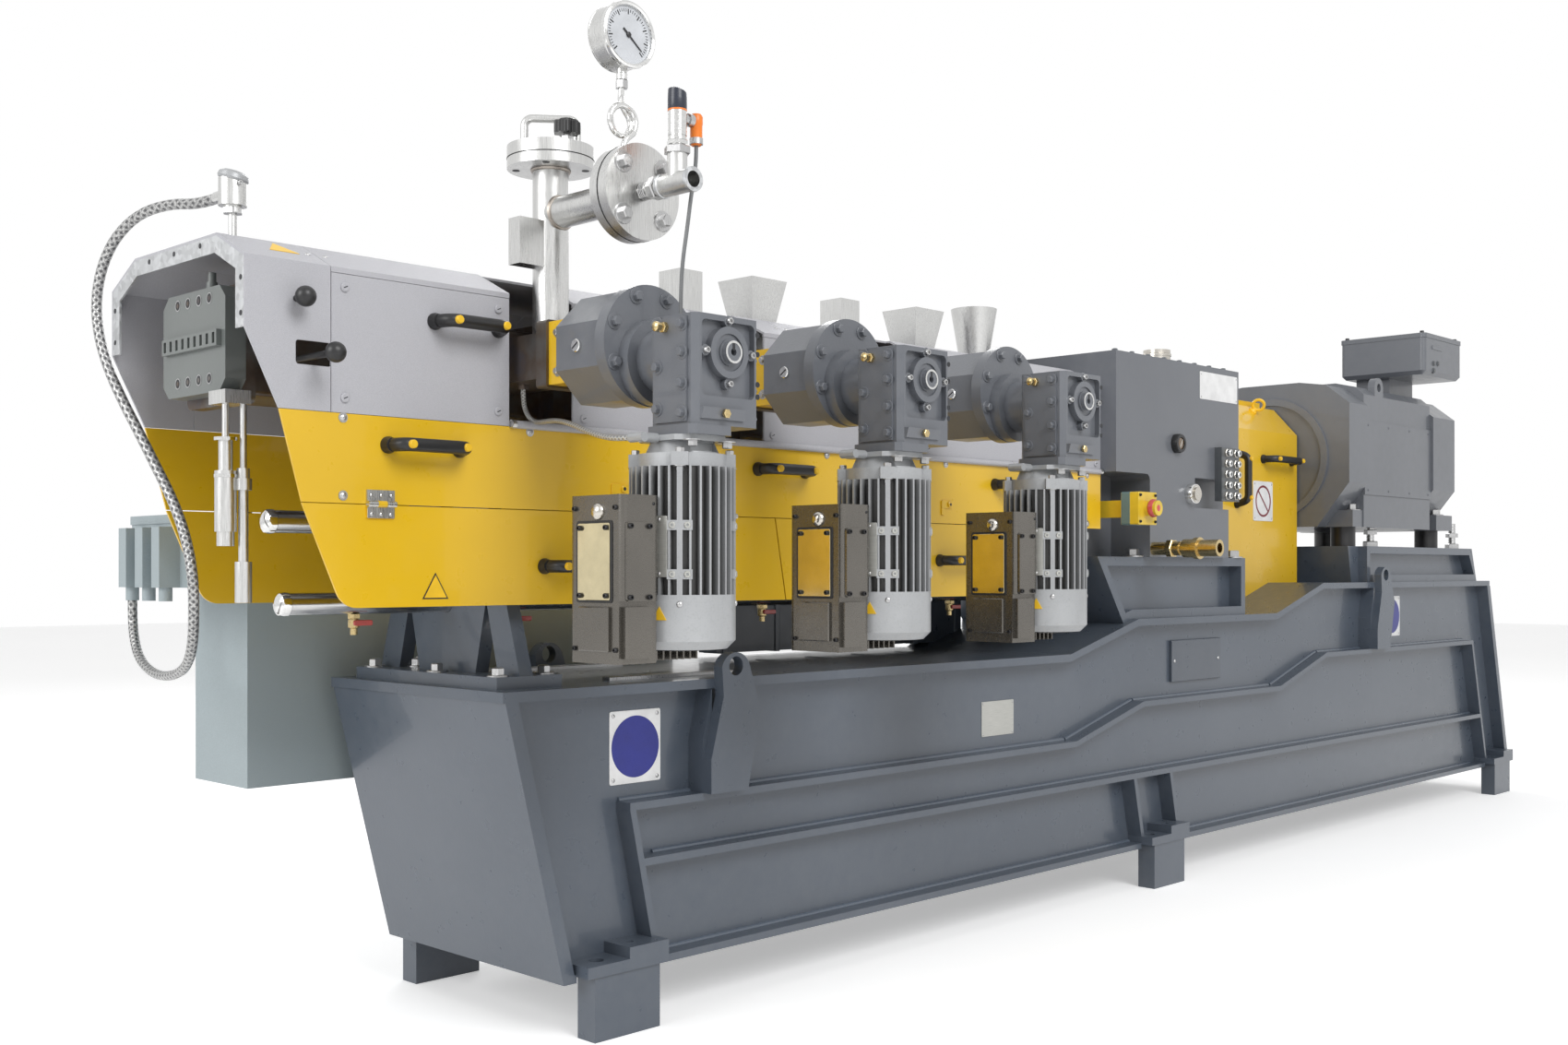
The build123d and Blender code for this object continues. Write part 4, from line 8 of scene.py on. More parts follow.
import bpy
import numpy as np
from bpy.props import FloatProperty, FloatVectorProperty, PointerProperty
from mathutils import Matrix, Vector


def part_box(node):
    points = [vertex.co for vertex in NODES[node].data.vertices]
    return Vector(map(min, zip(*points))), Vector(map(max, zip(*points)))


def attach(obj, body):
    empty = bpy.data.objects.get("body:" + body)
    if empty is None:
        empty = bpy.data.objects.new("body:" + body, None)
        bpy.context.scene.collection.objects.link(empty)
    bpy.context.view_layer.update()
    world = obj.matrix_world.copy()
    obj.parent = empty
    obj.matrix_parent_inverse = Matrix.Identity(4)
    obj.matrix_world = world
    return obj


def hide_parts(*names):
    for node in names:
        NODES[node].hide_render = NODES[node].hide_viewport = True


bl_info = {
    "name": "Plastic extruder dressing",
    "version": (1, 0, 0),
    "blender": (4, 5, 0),
    "location": "View3D > Sidebar > Extruder",
    "description": "Finishes, fasteners, fittings and stage of a plastic extruder",
    "category": "Object",
}

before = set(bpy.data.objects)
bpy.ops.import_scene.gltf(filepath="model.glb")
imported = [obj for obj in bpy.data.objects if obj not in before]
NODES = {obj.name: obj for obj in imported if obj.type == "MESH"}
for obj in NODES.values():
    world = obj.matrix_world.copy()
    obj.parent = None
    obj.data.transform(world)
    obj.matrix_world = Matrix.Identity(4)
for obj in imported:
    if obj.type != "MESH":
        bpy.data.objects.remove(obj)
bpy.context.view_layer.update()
ORIGIN = np.array([
    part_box("cover_front_hood")[0][0], sum(corner[1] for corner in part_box("barrel_line")) / 2, 0.0])

# Planes, heights and axes that several pieces share.
WEB_Y = -222.0
COVER_Y = -221.0
FEEDER_X = (512.0, 960.0, 1420.0)
SCREW_Z = 1107.0
GEAR_Z = SCREW_Z - 26.0
DRIVE_SHIFT = 30.0
DRIVE_Y = -595.0
STACK_Y = -245.0
BRANCH_Z = 1343.0
SENSOR_Y = -550.5
GAUGE_Z = 1589.0
HOUSING_Y = -264.0
GUARD_Y = -90.0

# Edges bent by more than this many degrees stay sharp.
SHARP_ANGLE = 35.0
# Place of the photograph's camera in the machine's frame, in metres.
CAMERA_AT = (-1.043, -2.283, 0.770)

NEAR, FAR, FRONT, REAR = (0, -1, 0), (0, 1, 0), (-1, 0, 0), (1, 0, 0)
UP, DOWN = (0, 0, 1), (0, 0, -1)


def colour(name, description, default):
    """A colour setting of the panel."""
    return FloatVectorProperty(
        name=name, description=description, subtype="COLOR", default=default, min=0, max=1)


class Looks(bpy.types.PropertyGroup):
    """Colours of the machine's finishes."""

    base: colour("Base frame", "Enamel of the welded base", (0.078, 0.096, 0.124))
    machine: colour("Machine grey", "Enamel of the gear housing and motor", (0.126, 0.135, 0.153))
    cover: colour("Cover", "Textured powder coat of the barrel cover", (0.46, 0.46, 0.49))
    guard: colour("Guards", "Enamel of skirts and guards", (0.76, 0.47, 0.012))
    silver: colour("Feeder motors", "Silver paint on cast aluminium", (0.4, 0.41, 0.42))
    steel: colour("Bright steel", "Brushed and turned steel", (0.62, 0.62, 0.61))


class Stage(bpy.types.PropertyGroup):
    """Camera, light and floor."""

    lens: FloatProperty(
        name="Lens", description="Focal length on a 36 mm wide sensor", default=36.02, min=10)
    rise: FloatProperty(
        name="Lens shift", description="Upward shift of the picture", default=0.0303)
    turn: FloatProperty(
        name="Camera turn", description="Turn of the camera to the right of +Y, in degrees",
        default=45.8)
    key: FloatProperty(
        name="Key light", description="Power of the large light", unit="POWER",
        default=385.0, min=0)
    sky: FloatProperty(
        name="Sky light", description="Strength of the even white surroundings",
        default=0.46, min=0)
    glow: FloatProperty(
        name="Floor glow", description="Glow of the floor for camera, mirror and glass rays",
        default=0.4, min=0)
    floor: FloatProperty(
        name="Floor size", description="Side of the square floor", unit="LENGTH", default=40.0, min=1)


class Fasteners(bpy.types.PropertyGroup):
    """Sizes of the repeated fasteners."""

    hex_small: FloatProperty(
        name="Small hexagon", description="Width across flats of the small screws", unit="LENGTH",
        default=0.013, min=0.001)
    hex_large: FloatProperty(
        name="Large hexagon", description="Width across flats of the frame bolts", unit="LENGTH",
        default=0.024, min=0.001)
    weld: FloatProperty(
        name="Weld bead", description="Radius of the weld beads", unit="LENGTH",
        default=0.005, min=0.0005)


class Wire:
    """One shader value that adds, multiplies and compares like a number."""

    def __init__(self, paint, socket):
        self.paint, self.socket = paint, socket

    def _maths(self, kind, other=None, swap=False):
        node = self.paint.nodes.new("ShaderNodeMath")
        node.operation = kind
        for socket, value in zip(node.inputs, (other, self) if swap else (self, other)):
            self.paint.feed(socket, value)
        return Wire(self.paint, node.outputs[0])

    def __add__(self, other):
        return self._maths("ADD", other)

    def __radd__(self, other):
        return self._maths("ADD", other, swap=True)

    def __sub__(self, other):
        return self._maths("SUBTRACT", other)

    def __rsub__(self, other):
        return self._maths("SUBTRACT", other, swap=True)

    def __mul__(self, other):
        return self._maths("MULTIPLY", other)

    def __rmul__(self, other):
        return self._maths("MULTIPLY", other, swap=True)

    def __truediv__(self, other):
        return self._maths("DIVIDE", other)

    def __rtruediv__(self, other):
        return self._maths("DIVIDE", other, swap=True)

    def __gt__(self, other):
        return self._maths("GREATER_THAN", other)

    def __lt__(self, other):
        return self._maths("LESS_THAN", other)

    def fraction(self):
        return self._maths("FRACT")

    def size(self):
        return self._maths("ABSOLUTE")

    def greatest(self, other):
        return self._maths("MAXIMUM", other)

    def least(self, other):
        return self._maths("MINIMUM", other)

    def within(self, low, high):
        """0 at low, 1 at high, held between them."""
        return ((self - low) / (high - low)).greatest(0.0).least(1.0)


class Paint:
    """A node material being built; node() adds any other node."""

    def __init__(self, name):
        self.material = bpy.data.materials.new(name)
        self.material.use_nodes = True
        self.nodes = self.material.node_tree.nodes
        self.links = self.material.node_tree.links
        self.shader = self.nodes["Principled BSDF"]

    def feed(self, socket, value):
        """Links a wire to the socket, or sets a plain value."""
        if isinstance(value, Wire):
            self.links.new(value.socket, socket)
        elif value is not None:
            socket.default_value = value

    def node(self, kind, feeds=None, output=0, **settings):
        """A node of that kind, with its inputs fed by name or number."""
        node = self.nodes.new("ShaderNode" + kind)
        for key, value in settings.items():
            setattr(node, key, value)
        for key, value in (feeds or {}).items():
            self.feed(node.inputs[key], value)
        return Wire(self, node.outputs[output])

    def place(self, stretch=(1, 1, 1)):
        """Object coordinates, stretched."""
        coordinates = self.node("TexCoord", output="Object")
        return self.node("Mapping", {"Vector": coordinates, "Scale": stretch})

    def noise(self, scale, detail=3.0, stretch=(1, 1, 1)):
        """Cloudy noise; scale is in waves per metre."""
        place = self.place(stretch)
        return self.node("TexNoise", {"Vector": place, "Scale": scale, "Detail": detail})

    def cells(self, scale):
        """One colour for each cell round scattered points."""
        return self.node("TexVoronoi", {"Vector": self.place(), "Scale": scale}, output="Color")

    def mix(self, factor, first, second):
        """Blend of two colours."""
        node = self.nodes.new("ShaderNodeMix")
        node.data_type = "RGBA"
        for number, value in ((0, factor), (6, first), (7, second)):
            if isinstance(value, (tuple, list)):
                value = (*value[:3], 1.0)
            self.feed(node.inputs[number], value)
        return Wire(self, node.outputs[2])

    def finish(self, colour, rough, metal=0.0, coat=0.0, height=None, depth=0.001):
        """Sets the shader's inputs and the bump from a height wire, depth in metres."""
        if isinstance(colour, (tuple, list)):
            colour = (*colour[:3], 1.0)
        self.feed(self.shader.inputs["Base Color"], colour)
        self.feed(self.shader.inputs["Roughness"], rough)
        self.feed(self.shader.inputs["Metallic"], metal)
        self.feed(self.shader.inputs["Coat Weight"], coat)
        if height is not None:
            bump = self.node("Bump", {"Height": height, "Distance": depth, "Strength": 1.0})
            self.feed(self.shader.inputs["Normal"], bump)
        return self.material


def tint(colour, factor):
    """Colour times a factor, kept below white."""
    return tuple(min(1.0, c * factor) for c in colour[:3])


def enamel(name, colour, rough=0.32, peel=0.00018, dust=0.35):
    """Sprayed machine enamel: orange peel, cloudy gloss and a thin film of dust."""
    paint = Paint(name)
    cloud = paint.noise(2.2, 4.0)
    grain = paint.noise(38.0, 5.0)
    film = (cloud * 0.7 + grain * 0.5).within(0.5, 0.85)
    shade = paint.mix(cloud.within(0.3, 0.7), tint(colour, 0.92), tint(colour, 1.07))
    shade = paint.mix(film * dust * 0.25, shade, (0.34, 0.33, 0.31))
    gloss = rough + (grain - 0.5) * 0.16 + film * dust * 0.2
    peel_height = paint.noise(190.0, 2.0) * 0.7 + paint.noise(620.0, 1.0) * 0.3
    return paint.finish(shade, gloss, 0.0, 0.25, peel_height, peel)


def powder(name, colour):
    """Fine textured powder coat: small closed bumps with a little sparkle."""
    paint = Paint(name)
    bumps = paint.noise(900.0, 2.0)
    cloud = paint.noise(1.6, 4.0)
    shade = paint.mix(bumps.within(0.35, 0.7), tint(colour, 0.88), tint(colour, 1.1))
    shade = paint.mix(cloud.within(0.4, 0.75) * 0.25, shade, tint(colour, 0.9))
    return paint.finish(shade, 0.5 + (cloud - 0.5) * 0.14, 0.0, 0.0, bumps, 0.0004)


def brushed(name, colour, stretch=(26.0, 26.0, 1.0), rough=0.3, metal=1.0):
    """Ground or turned metal: long fine scratches and faint clouding."""
    paint = Paint(name)
    lines = paint.noise(34.0, 4.0, stretch)
    cloud = paint.noise(9.0, 4.0)
    shade = paint.mix(lines.within(0.3, 0.7), tint(colour, 0.86), tint(colour, 1.08))
    shade = paint.mix(cloud.within(0.45, 0.75) * 0.3, shade, tint(colour, 0.7))
    gloss = rough + (lines - 0.5) * 0.25 + (cloud - 0.5) * 0.18
    return paint.finish(shade, gloss, metal, 0.0, lines, 0.00006)


def cast(name, colour, rough=0.42, metal=0.35, grit=0.00035):
    """Painted casting: sandy skin with soft flow marks."""
    paint = Paint(name)
    sand = paint.noise(430.0, 3.0) * 0.6 + paint.noise(90.0, 3.0) * 0.4
    cloud = paint.noise(7.0, 4.0)
    shade = paint.mix(cloud.within(0.3, 0.7), tint(colour, 0.9), tint(colour, 1.08))
    shade = paint.mix(sand.within(0.52, 0.68) * 0.18, shade, tint(colour, 0.55))
    return paint.finish(shade, rough + (sand - 0.5) * 0.2, metal, 0.1, sand, grit)


def finned(name, colour, centres, y, core, tips, low, high):
    """Painted casting with painted shade between its fins: the shade follows the distance from the
    nearest of three upright axes, from core to tips, within the height of the fins.  In metres."""
    paint = Paint(name)
    place = paint.node("TexCoord", output="Object")
    x, across, z = (paint.node("SeparateXYZ", {"Vector": place}, output=i) for i in range(3))
    away = [(x - centre) * (x - centre) for centre in centres]
    nearest = away[0].least(away[1]).least(away[2])
    radius = nearest + (across - y) * (across - y)
    depth = 1.0 - radius.within(core * core, tips * tips)
    inside = (z > low) * (z < high)
    sand = paint.noise(430.0, 3.0) * 0.6 + paint.noise(90.0, 3.0) * 0.4
    cloud = paint.noise(7.0, 4.0)
    shade = paint.mix(cloud.within(0.3, 0.7), tint(colour, 0.88), tint(colour, 1.08))
    shade = paint.mix(sand.within(0.5, 0.66) * 0.2, shade, tint(colour, 0.5))
    # Painted shade: near black deep between the fins, fading out towards the fin tips.
    shade = paint.mix(depth * inside * 0.88, shade, (0.035, 0.033, 0.03))
    return paint.finish(shade, 0.4 + (sand - 0.5) * 0.2, 0.25, 0.1, sand, 0.0002)


def heated(name, colour):
    """Machined tool steel that has been hot: brown and blue clouds over grey."""
    paint = Paint(name)
    cloud = paint.noise(14.0, 5.0)
    lines = paint.noise(60.0, 3.0, (1.0, 18.0, 18.0))
    shade = paint.mix(cloud.within(0.35, 0.6), tint(colour, 1.0), (0.12, 0.085, 0.06))
    shade = paint.mix(cloud.within(0.55, 0.8), shade, (0.07, 0.08, 0.11))
    return paint.finish(shade, 0.38 + (lines - 0.5) * 0.3, 0.8, 0.0, lines, 0.0001)


def plain(name, colour, rough=0.45, metal=0.0, grit=0.00008, coat=0.0):
    """Moulded plastic, rubber or label stock with a fine even grain."""
    paint = Paint(name)
    grain = paint.noise(700.0, 2.0)
    cloud = paint.noise(30.0, 3.0)
    shade = paint.mix(cloud.within(0.3, 0.7), tint(colour, 0.9), tint(colour, 1.08))
    return paint.finish(shade, rough + (grain - 0.5) * 0.12, metal, coat, grain, grit)


def galvanised(name, colour):
    """Zinc coating with its crystal pattern."""
    paint = Paint(name)
    crystals = paint.cells(120.0)
    tone = paint.node("RGBToBW", {"Color": crystals})
    shade = paint.mix(tone, tint(colour, 0.78), tint(colour, 1.15))
    return paint.finish(shade, 0.34 + tone * 0.2, 0.85, 0.0, tone, 0.00004)


def braid(name, light, dark, turns, length, contrast=0.8):
    """Woven wire sleeve: two sets of helical strands cross over and under along the hose."""
    paint = Paint(name)
    uv = paint.node("TexCoord", output="UV")
    split = paint.node("SeparateXYZ", {"Vector": uv})
    across = paint.node("SeparateXYZ", {"Vector": uv}, output=1)
    one = (split * length + across * turns).fraction()
    two = (split * length - across * turns).fraction()
    ridge_one = 1.0 - (one - 0.5).size() * 2.0
    ridge_two = 1.0 - (two - 0.5).size() * 2.0
    over = ridge_one.greatest(ridge_two)
    fleck = paint.noise(360.0, 2.0).within(0.45, 0.6)
    shade = paint.mix(over.within(0.3, 0.8), dark, light)
    shade = paint.mix(fleck * contrast, shade, dark)
    return paint.finish(shade, 0.42 - over * 0.1, 0.55, 0.0, over, 0.0008)


PAINTS = {}
# The CAD nodes that get each finish.
FINISHES = {
    "base_paint": [
        "base_deck", "base_end_plates", "side_beam_near", "side_beam_far", "foot_pads", "foot_blocks",
        "lifting_lugs", "front_saddle", "gearbox_pedestal", "motor_frame", "cabinet_brackets"],
    "machine_paint": ["gearbox_housing", "main_motor", "motor_terminal_box"],
    "drive_paint": ["feeder_lanterns", "feeder_gearboxes"],
    "cover_paint": [
        "cover_front_hood", "cover_roof", "cover_roof_rear", "cover_doors_near", "cover_doors_far"],
    "guard_paint": [
        "skirt_near", "skirt_far", "flap_near_front", "flap_near_rear", "flaps_far", "feeder_guards",
        "coupling_guard"],
    "silver_cast": ["feeder_motors"],
    "inverter_cast": ["inverter_boxes"],
    "steel": [
        "vent_stack", "vent_lid", "vent_tee", "vent_sensor", "gauge_siphon", "pressure_gauge",
        "roof_inlets", "cone_inlet", "skirt_hinges", "transducers", "thermocouple"],
    "zinc": ["hood_flange"],
    "pipe_steel": ["water_pipes"],
    "tool_steel": ["barrel_line", "feeder_barrels"],
    "die_paint": ["die_head"],
    "black": ["panel_handles", "flap_front_handle", "flap_rear_handle", "motor_mounts", "cover_knobs"],
    "cabinet_paint": ["control_cabinet", "connector_box"],
    "brass": ["oil_coupling"],
    "nickel": ["gearbox_fittings"],
    "manifold_paint": ["oil_manifold"],
    "button_yellow": ["emergency_stop_box"],
}


def mix_paints():
    """Makes every finish once, from the colours in the panel."""
    looks = bpy.context.scene.extruder_looks
    drive_x = [(x - DRIVE_SHIFT) / 1000 + ORIGIN[0] for x in FEEDER_X]
    drive_y = DRIVE_Y / 1000 + ORIGIN[1]
    recipes = {
        "base_paint": (enamel, looks.base, 0.3),
        "machine_paint": (enamel, looks.machine, 0.36),
        "drive_paint": (enamel, looks.machine, 0.34, 0.0003),
        "cover_paint": (powder, looks.cover),
        "cabinet_paint": (powder, (0.36, 0.42, 0.44)),
        "guard_paint": (enamel, looks.guard, 0.3, 0.00012, 0.1),
        # The feeder motors' silver casting, with painted shade between their fins.
        "silver_cast": (finned, looks.silver, drive_x, drive_y, 0.064, 0.0775, 0.735, 0.917),
        "die_paint": (enamel, (0.13, 0.145, 0.14), 0.34),
        "lid_mirror": (plain, (0.64, 0.56, 0.36), 0.14, 1.0, 0.00001),
        "sleeve": (braid, (0.6, 0.6, 0.58), (0.2, 0.2, 0.2), 3.0, 60.0, 0.25),
        "inverter_cast": (cast, (0.15, 0.14, 0.125), 0.26, 0.8, 0.00018),
        "steel": (brushed, looks.steel),
        "pipe_steel": (brushed, (0.6, 0.6, 0.6), (1.0, 24.0, 24.0), 0.22),
        "tool_steel": (heated, (0.17, 0.165, 0.16)),
        "zinc": (galvanised, (0.55, 0.56, 0.57)),
        "screw_steel": (brushed, (0.5, 0.5, 0.5), (30.0, 30.0, 4.0), 0.32),
        "dark_screw": (plain, (0.03, 0.03, 0.032), 0.35, 0.6),
        "brass": (brushed, (0.6, 0.47, 0.24), (20.0, 1.0, 20.0), 0.26),
        "nickel": (brushed, (0.58, 0.55, 0.5), (6.0, 6.0, 24.0), 0.24),
        "black": (plain, (0.012, 0.012, 0.013), 0.38),
        "rubber": (plain, (0.015, 0.015, 0.016), 0.7, 0.0, 0.0002),
        "insert_yellow": (plain, (0.85, 0.52, 0.02), 0.4),
        "button_yellow": (plain, (0.72, 0.5, 0.03), 0.35, 0.0, 0.00004, 0.3),
        "red": (plain, (0.55, 0.06, 0.05), 0.3, 0.0, 0.00003, 0.4),
        "dark_red": (plain, (0.2, 0.03, 0.04), 0.35),
        "orange": (plain, (0.8, 0.2, 0.02), 0.35),
        "label_white": (plain, (0.78, 0.78, 0.78), 0.35),
        "label_blue": (plain, (0.012, 0.018, 0.22), 0.3),
        "plate": (brushed, (0.5, 0.5, 0.47), (1.0, 1.0, 30.0), 0.35, 0.7),
        "dark_plate": (enamel, tint(looks.base, 0.8), 0.3),
        "dial": (plain, (0.55, 0.57, 0.6), 0.3, 0.0, 0.00001, 1.0),
        # Near-black sheet laid in holes, slots, grooves and seams: painted shade standing in for their dark
        # insides.
        "recess": (plain, (0.012, 0.013, 0.016), 0.5),
        "ink": (plain, (0.02, 0.02, 0.022), 0.4),
        "box_blue": (plain, (0.12, 0.2, 0.22), 0.4),
        "manifold_paint": (enamel, (0.07, 0.078, 0.085), 0.34),
        "cap": (plain, (0.012, 0.016, 0.03), 0.35, 0.0, 0.00005, 0.2),
        "polished": (brushed, (0.72, 0.72, 0.71), (12.0, 12.0, 12.0), 0.12),
        "sight": (plain, (0.11, 0.06, 0.02), 0.08, 0.0, 0.00001, 1.0),
        "hose_braid": (braid, (0.56, 0.56, 0.55), (0.1, 0.1, 0.105), 4.0, 110.0, 0.6),
        "cable_grey": (plain, (0.16, 0.165, 0.17), 0.45),
        # Weld beads: the beads are real, but their paint, 1.35 times lighter than the base enamel, is a
        # painted highlight along the ribs' edges.
        "weld": (enamel, tint(looks.base, 1.35), 0.24, 0.0004, 0.0),
        "weld_steel": (brushed, (0.42, 0.38, 0.34), (8.0, 8.0, 8.0), 0.4),
    }
    for name, (kind, *settings) in recipes.items():
        PAINTS[name] = kind(name, *settings)


def unit(vector):
    """Vector scaled to length 1."""
    vector = np.asarray(vector, float)
    return vector / np.linalg.norm(vector)


def loft(rings):
    """Skin of a stack of rings of equal count: quad (i, j) joins ring i to ring i + 1, and flat
    caps close both ends."""
    rings = np.asarray(rings, float)
    count, around, _ = rings.shape
    index = np.arange(count * around).reshape(count, around)
    after = np.roll(index, -1, axis=1)
    quads = np.stack([index[:-1], after[:-1], after[1:], index[1:]], axis=-1).reshape(-1, 4)
    return rings.reshape(-1, 3), quads.tolist() + [index[0, ::-1].tolist(), index[-1].tolist()]


def join(*shapes):
    """Several shapes as one."""
    points, faces, start = [], [], 0
    for shape in shapes:
        points.append(shape[0])
        faces += [[i + start for i in face] for face in shape[1]]
        start += len(shape[0])
    return np.concatenate(points), faces


def turned(profile, around=24):
    """Surface of revolution: x = r cos a, y = r sin a, z = z for each (r, z) of the profile."""
    r, z = np.asarray(profile, float).T
    a = np.linspace(0, 2 * np.pi, around, endpoint=False)
    return loft(np.stack(
        [np.outer(r, np.cos(a)), np.outer(r, np.sin(a)), np.outer(z, np.ones(around))], -1))


def circle(radius, count=32):
    """Outline of a circle: x = radius cos a, y = radius sin a."""
    a = np.linspace(0, 2 * np.pi, count, endpoint=False)
    return radius * np.stack([np.cos(a), np.sin(a)], -1)


def rectangle(width, height, radius=0.0, count=5):
    """Rectangle with its corners as quarter circles of that radius."""
    if not radius:
        return np.array([(-width, -height), (width, -height), (width, height), (-width, height)]) / 2
    a = np.linspace(0, np.pi / 2, count)
    arcs = []
    for k, (sx, sy) in enumerate(((1, 1), (-1, 1), (-1, -1), (1, -1))):
        centre = np.array([sx * (width / 2 - radius), sy * (height / 2 - radius)])
        turn = a + k * np.pi / 2
        arcs.append(centre + radius * np.stack([np.cos(turn), np.sin(turn)], -1))
    return np.concatenate(arcs)


def inset(outline, distance):
    """Convex outline with each side moved inwards by the distance."""
    outline = np.asarray(outline, float)
    side = np.roll(outline, -1, axis=0) - outline
    normal = np.stack([side[:, 1], -side[:, 0]], -1) / np.linalg.norm(side, axis=1)[:, None]
    before = np.roll(normal, 1, axis=0)
    lean = 1 + (normal * before).sum(1, keepdims=True)
    return outline - distance * (normal + before) / lean


def plate(outline, thick, edge=0.0):
    """Flat plate on z = 0 to thick; its upper rim is chamfered by edge."""
    outline = np.asarray(outline, float)
    levels = [(0.0, 0.0), (0.0, thick - edge)]
    if edge:
        levels.append((edge, thick))
    return loft([
        np.column_stack([inset(outline, d) if d else outline, np.full(len(outline), z)])
        for d, z in levels])


def tile(width, height, radius, thick, edge=0.0):
    """Rectangular plate with rounded corners."""
    return plate(rectangle(width, height, radius), thick, edge)


def disc(radius, thick, around):
    """Flat round plate."""
    return plate(circle(radius, around), thick)


def hexagon(flats):
    """Outline of a hexagon head; flats is its width across the flats."""
    return circle(flats / np.sqrt(3), 6)


def nut(flats, height, edge=1.0):
    """Hexagon plate with its upper rim chamfered."""
    return plate(hexagon(flats), height, edge)


def hex_bolt(flats, on_washer=True):
    """Hexagon head with a chamfered crown, on a flat washer."""
    bolt = nut(flats, 0.62 * flats, 0.08 * flats)
    if not on_washer:
        return bolt
    base = 0.14 * flats
    ring = turned([(flats * 0.95, 0), (flats * 0.95, base * 0.7), (flats * 0.9, base)], 20)
    return join(ring, (bolt[0] + (0, 0, base), bolt[1]))


def socket_screw(head):
    """Cylinder head of that diameter with a round key recess."""
    r, h = head / 2, head * 0.62
    return turned([(r, 0), (r, h * 0.85), (r * 0.88, h), (r * 0.52, h), (r * 0.52, h * 0.45)], 16)


def dome(head):
    """Low round head: a slice of a sphere with a small key recess."""
    a = np.linspace(0, np.pi / 2 - 0.35, 5)
    r = head / 2
    profile = [(r * np.cos(t), r * 0.55 * np.sin(t)) for t in a]
    return turned(profile + [(r * 0.28, profile[-1][1] - r * 0.2)], 18)


def tube(path, radius, around=12, ripple=0.0, pitch=6.0):
    """Round tube along a path; ring i lies across the path's direction, and its radius swells by
    ripple times the sine of the distance over the pitch."""
    path = np.asarray(path, float)
    step = np.gradient(path, axis=0)
    step /= np.linalg.norm(step, axis=1)[:, None]
    far = np.concatenate([[0], np.cumsum(np.linalg.norm(np.diff(path, axis=0), axis=1))])
    side = np.zeros_like(step)
    side[0] = unit(np.cross(step[0], (0.31, 0.59, 0.74)))
    for i in range(1, len(path)):
        side[i] = unit(side[i - 1] - step[i] * (side[i - 1] @ step[i]))
    up = np.cross(step, side)
    a = np.linspace(0, 2 * np.pi, around, endpoint=False)
    r = (radius * (1 + ripple * np.sin(2 * np.pi * far / pitch)))[:, None, None]
    across = side[:, None] * np.cos(a)[:, None] + up[:, None] * np.sin(a)[:, None]
    return loft(path[:, None] + r * across)


def bent(points, per=8):
    """Bent bar: a quadratic B-spline that starts on the first point and ends on the last."""
    p = np.asarray(points, float)
    q = np.concatenate([[2 * p[0] - p[1]], p[1:-1], [2 * p[-1] - p[-2]]])
    t = np.linspace(0, 1, per, endpoint=False)[:, None, None]
    curve = ((1 - t) ** 2 * q[:-2] + (1 + 2 * t - 2 * t * t) * q[1:-1] + t * t * q[2:]) / 2
    return np.concatenate([curve.transpose(1, 0, 2).reshape(-1, 3), p[-1:]])


def band(profile, around=32):
    """Closed ring of revolution: the (r, z) profile runs round the section, up on the outside."""
    points, faces = turned(profile, around)
    index = np.arange(len(points)).reshape(-1, around)
    after = np.roll(index, -1, axis=1)
    return points, faces[:-2] + np.stack([index[-1], after[-1], after[0], index[0]], -1).tolist()


def washer(outer, inner, thick, around=32):
    """Flat ring between two radii, on z = 0 to thick."""
    return band([(outer, 0), (outer, thick), (inner, thick), (inner, 0)], around)


def bow(length, rise, radius, lean=0.0):
    """Bow handle on z = 0: its feet are length apart on x and lean inwards, and the bar is rise high."""
    half = length / 2
    left = [
        (-half, 0, 0), (-half + lean, 0, rise * 0.55), (-half + rise * 0.35, 0, rise),
        (-half + rise, 0, rise)]
    right = [(-x, y, z) for x, y, z in reversed(left)]
    return tube(bent([*left, (0, 0, rise), *right]), radius, 14)


def torus(centres, radius, around=12):
    """Round bar along a closed run of points: ring i lies across the run there, and the last ring
    joins the first."""
    centres = np.asarray(centres, float)
    step = np.roll(centres, -1, axis=0) - np.roll(centres, 1, axis=0)
    step /= np.linalg.norm(step, axis=1)[:, None]
    outward = centres - centres.mean(axis=0)
    outward /= np.linalg.norm(outward, axis=1)[:, None]
    up = np.cross(step, outward)
    a = np.linspace(0, 2 * np.pi, around, endpoint=False)[:, None]
    points = centres[:, None] + radius * (outward[:, None] * np.cos(a) + up[:, None] * np.sin(a))
    index = np.arange(len(centres) * around).reshape(-1, around)
    after, later = np.roll(index, -1, axis=1), np.roll(index, -1, axis=0)
    both = np.roll(later, -1, axis=1)
    return points.reshape(-1, 3), np.stack([index, after, both, later], -1).reshape(-1, 4).tolist()


def star(radius, depth, points, count=60):
    """Outline of a star knob: the radius swells by depth with the cosine of points times the angle."""
    a = np.linspace(0, 2 * np.pi, count, endpoint=False)
    r = radius + depth * np.cos(points * a)
    return np.stack([r * np.cos(a), r * np.sin(a)], -1)


def straight(start, end, spacing):
    """Evenly spaced points from start to end."""
    start, end = np.asarray(start, float), np.asarray(end, float)
    count = max(2, int(np.linalg.norm(end - start) / spacing) + 1)
    return start + (end - start) * np.linspace(0, 1, count)[:, None]


def axes_of(out):
    """Three unit axes square to each other, the third along out."""
    z = unit(out)
    x = unit(np.cross((0, 1, 0) if abs(z[2]) > 0.9 else (0, 0, 1), z))
    return x, np.cross(z, x), z


def stand(shape, at, out=UP, turn=0.0):
    """Shape with its z axis along out, turned about it by turn degrees, moved to at."""
    x, y, z = axes_of(out)
    c, s = np.cos(np.radians(turn)), np.sin(np.radians(turn))
    axes = np.stack([c * x + s * y, c * y - s * x, z])
    return shape[0] @ axes + np.asarray(at, float), shape[1]


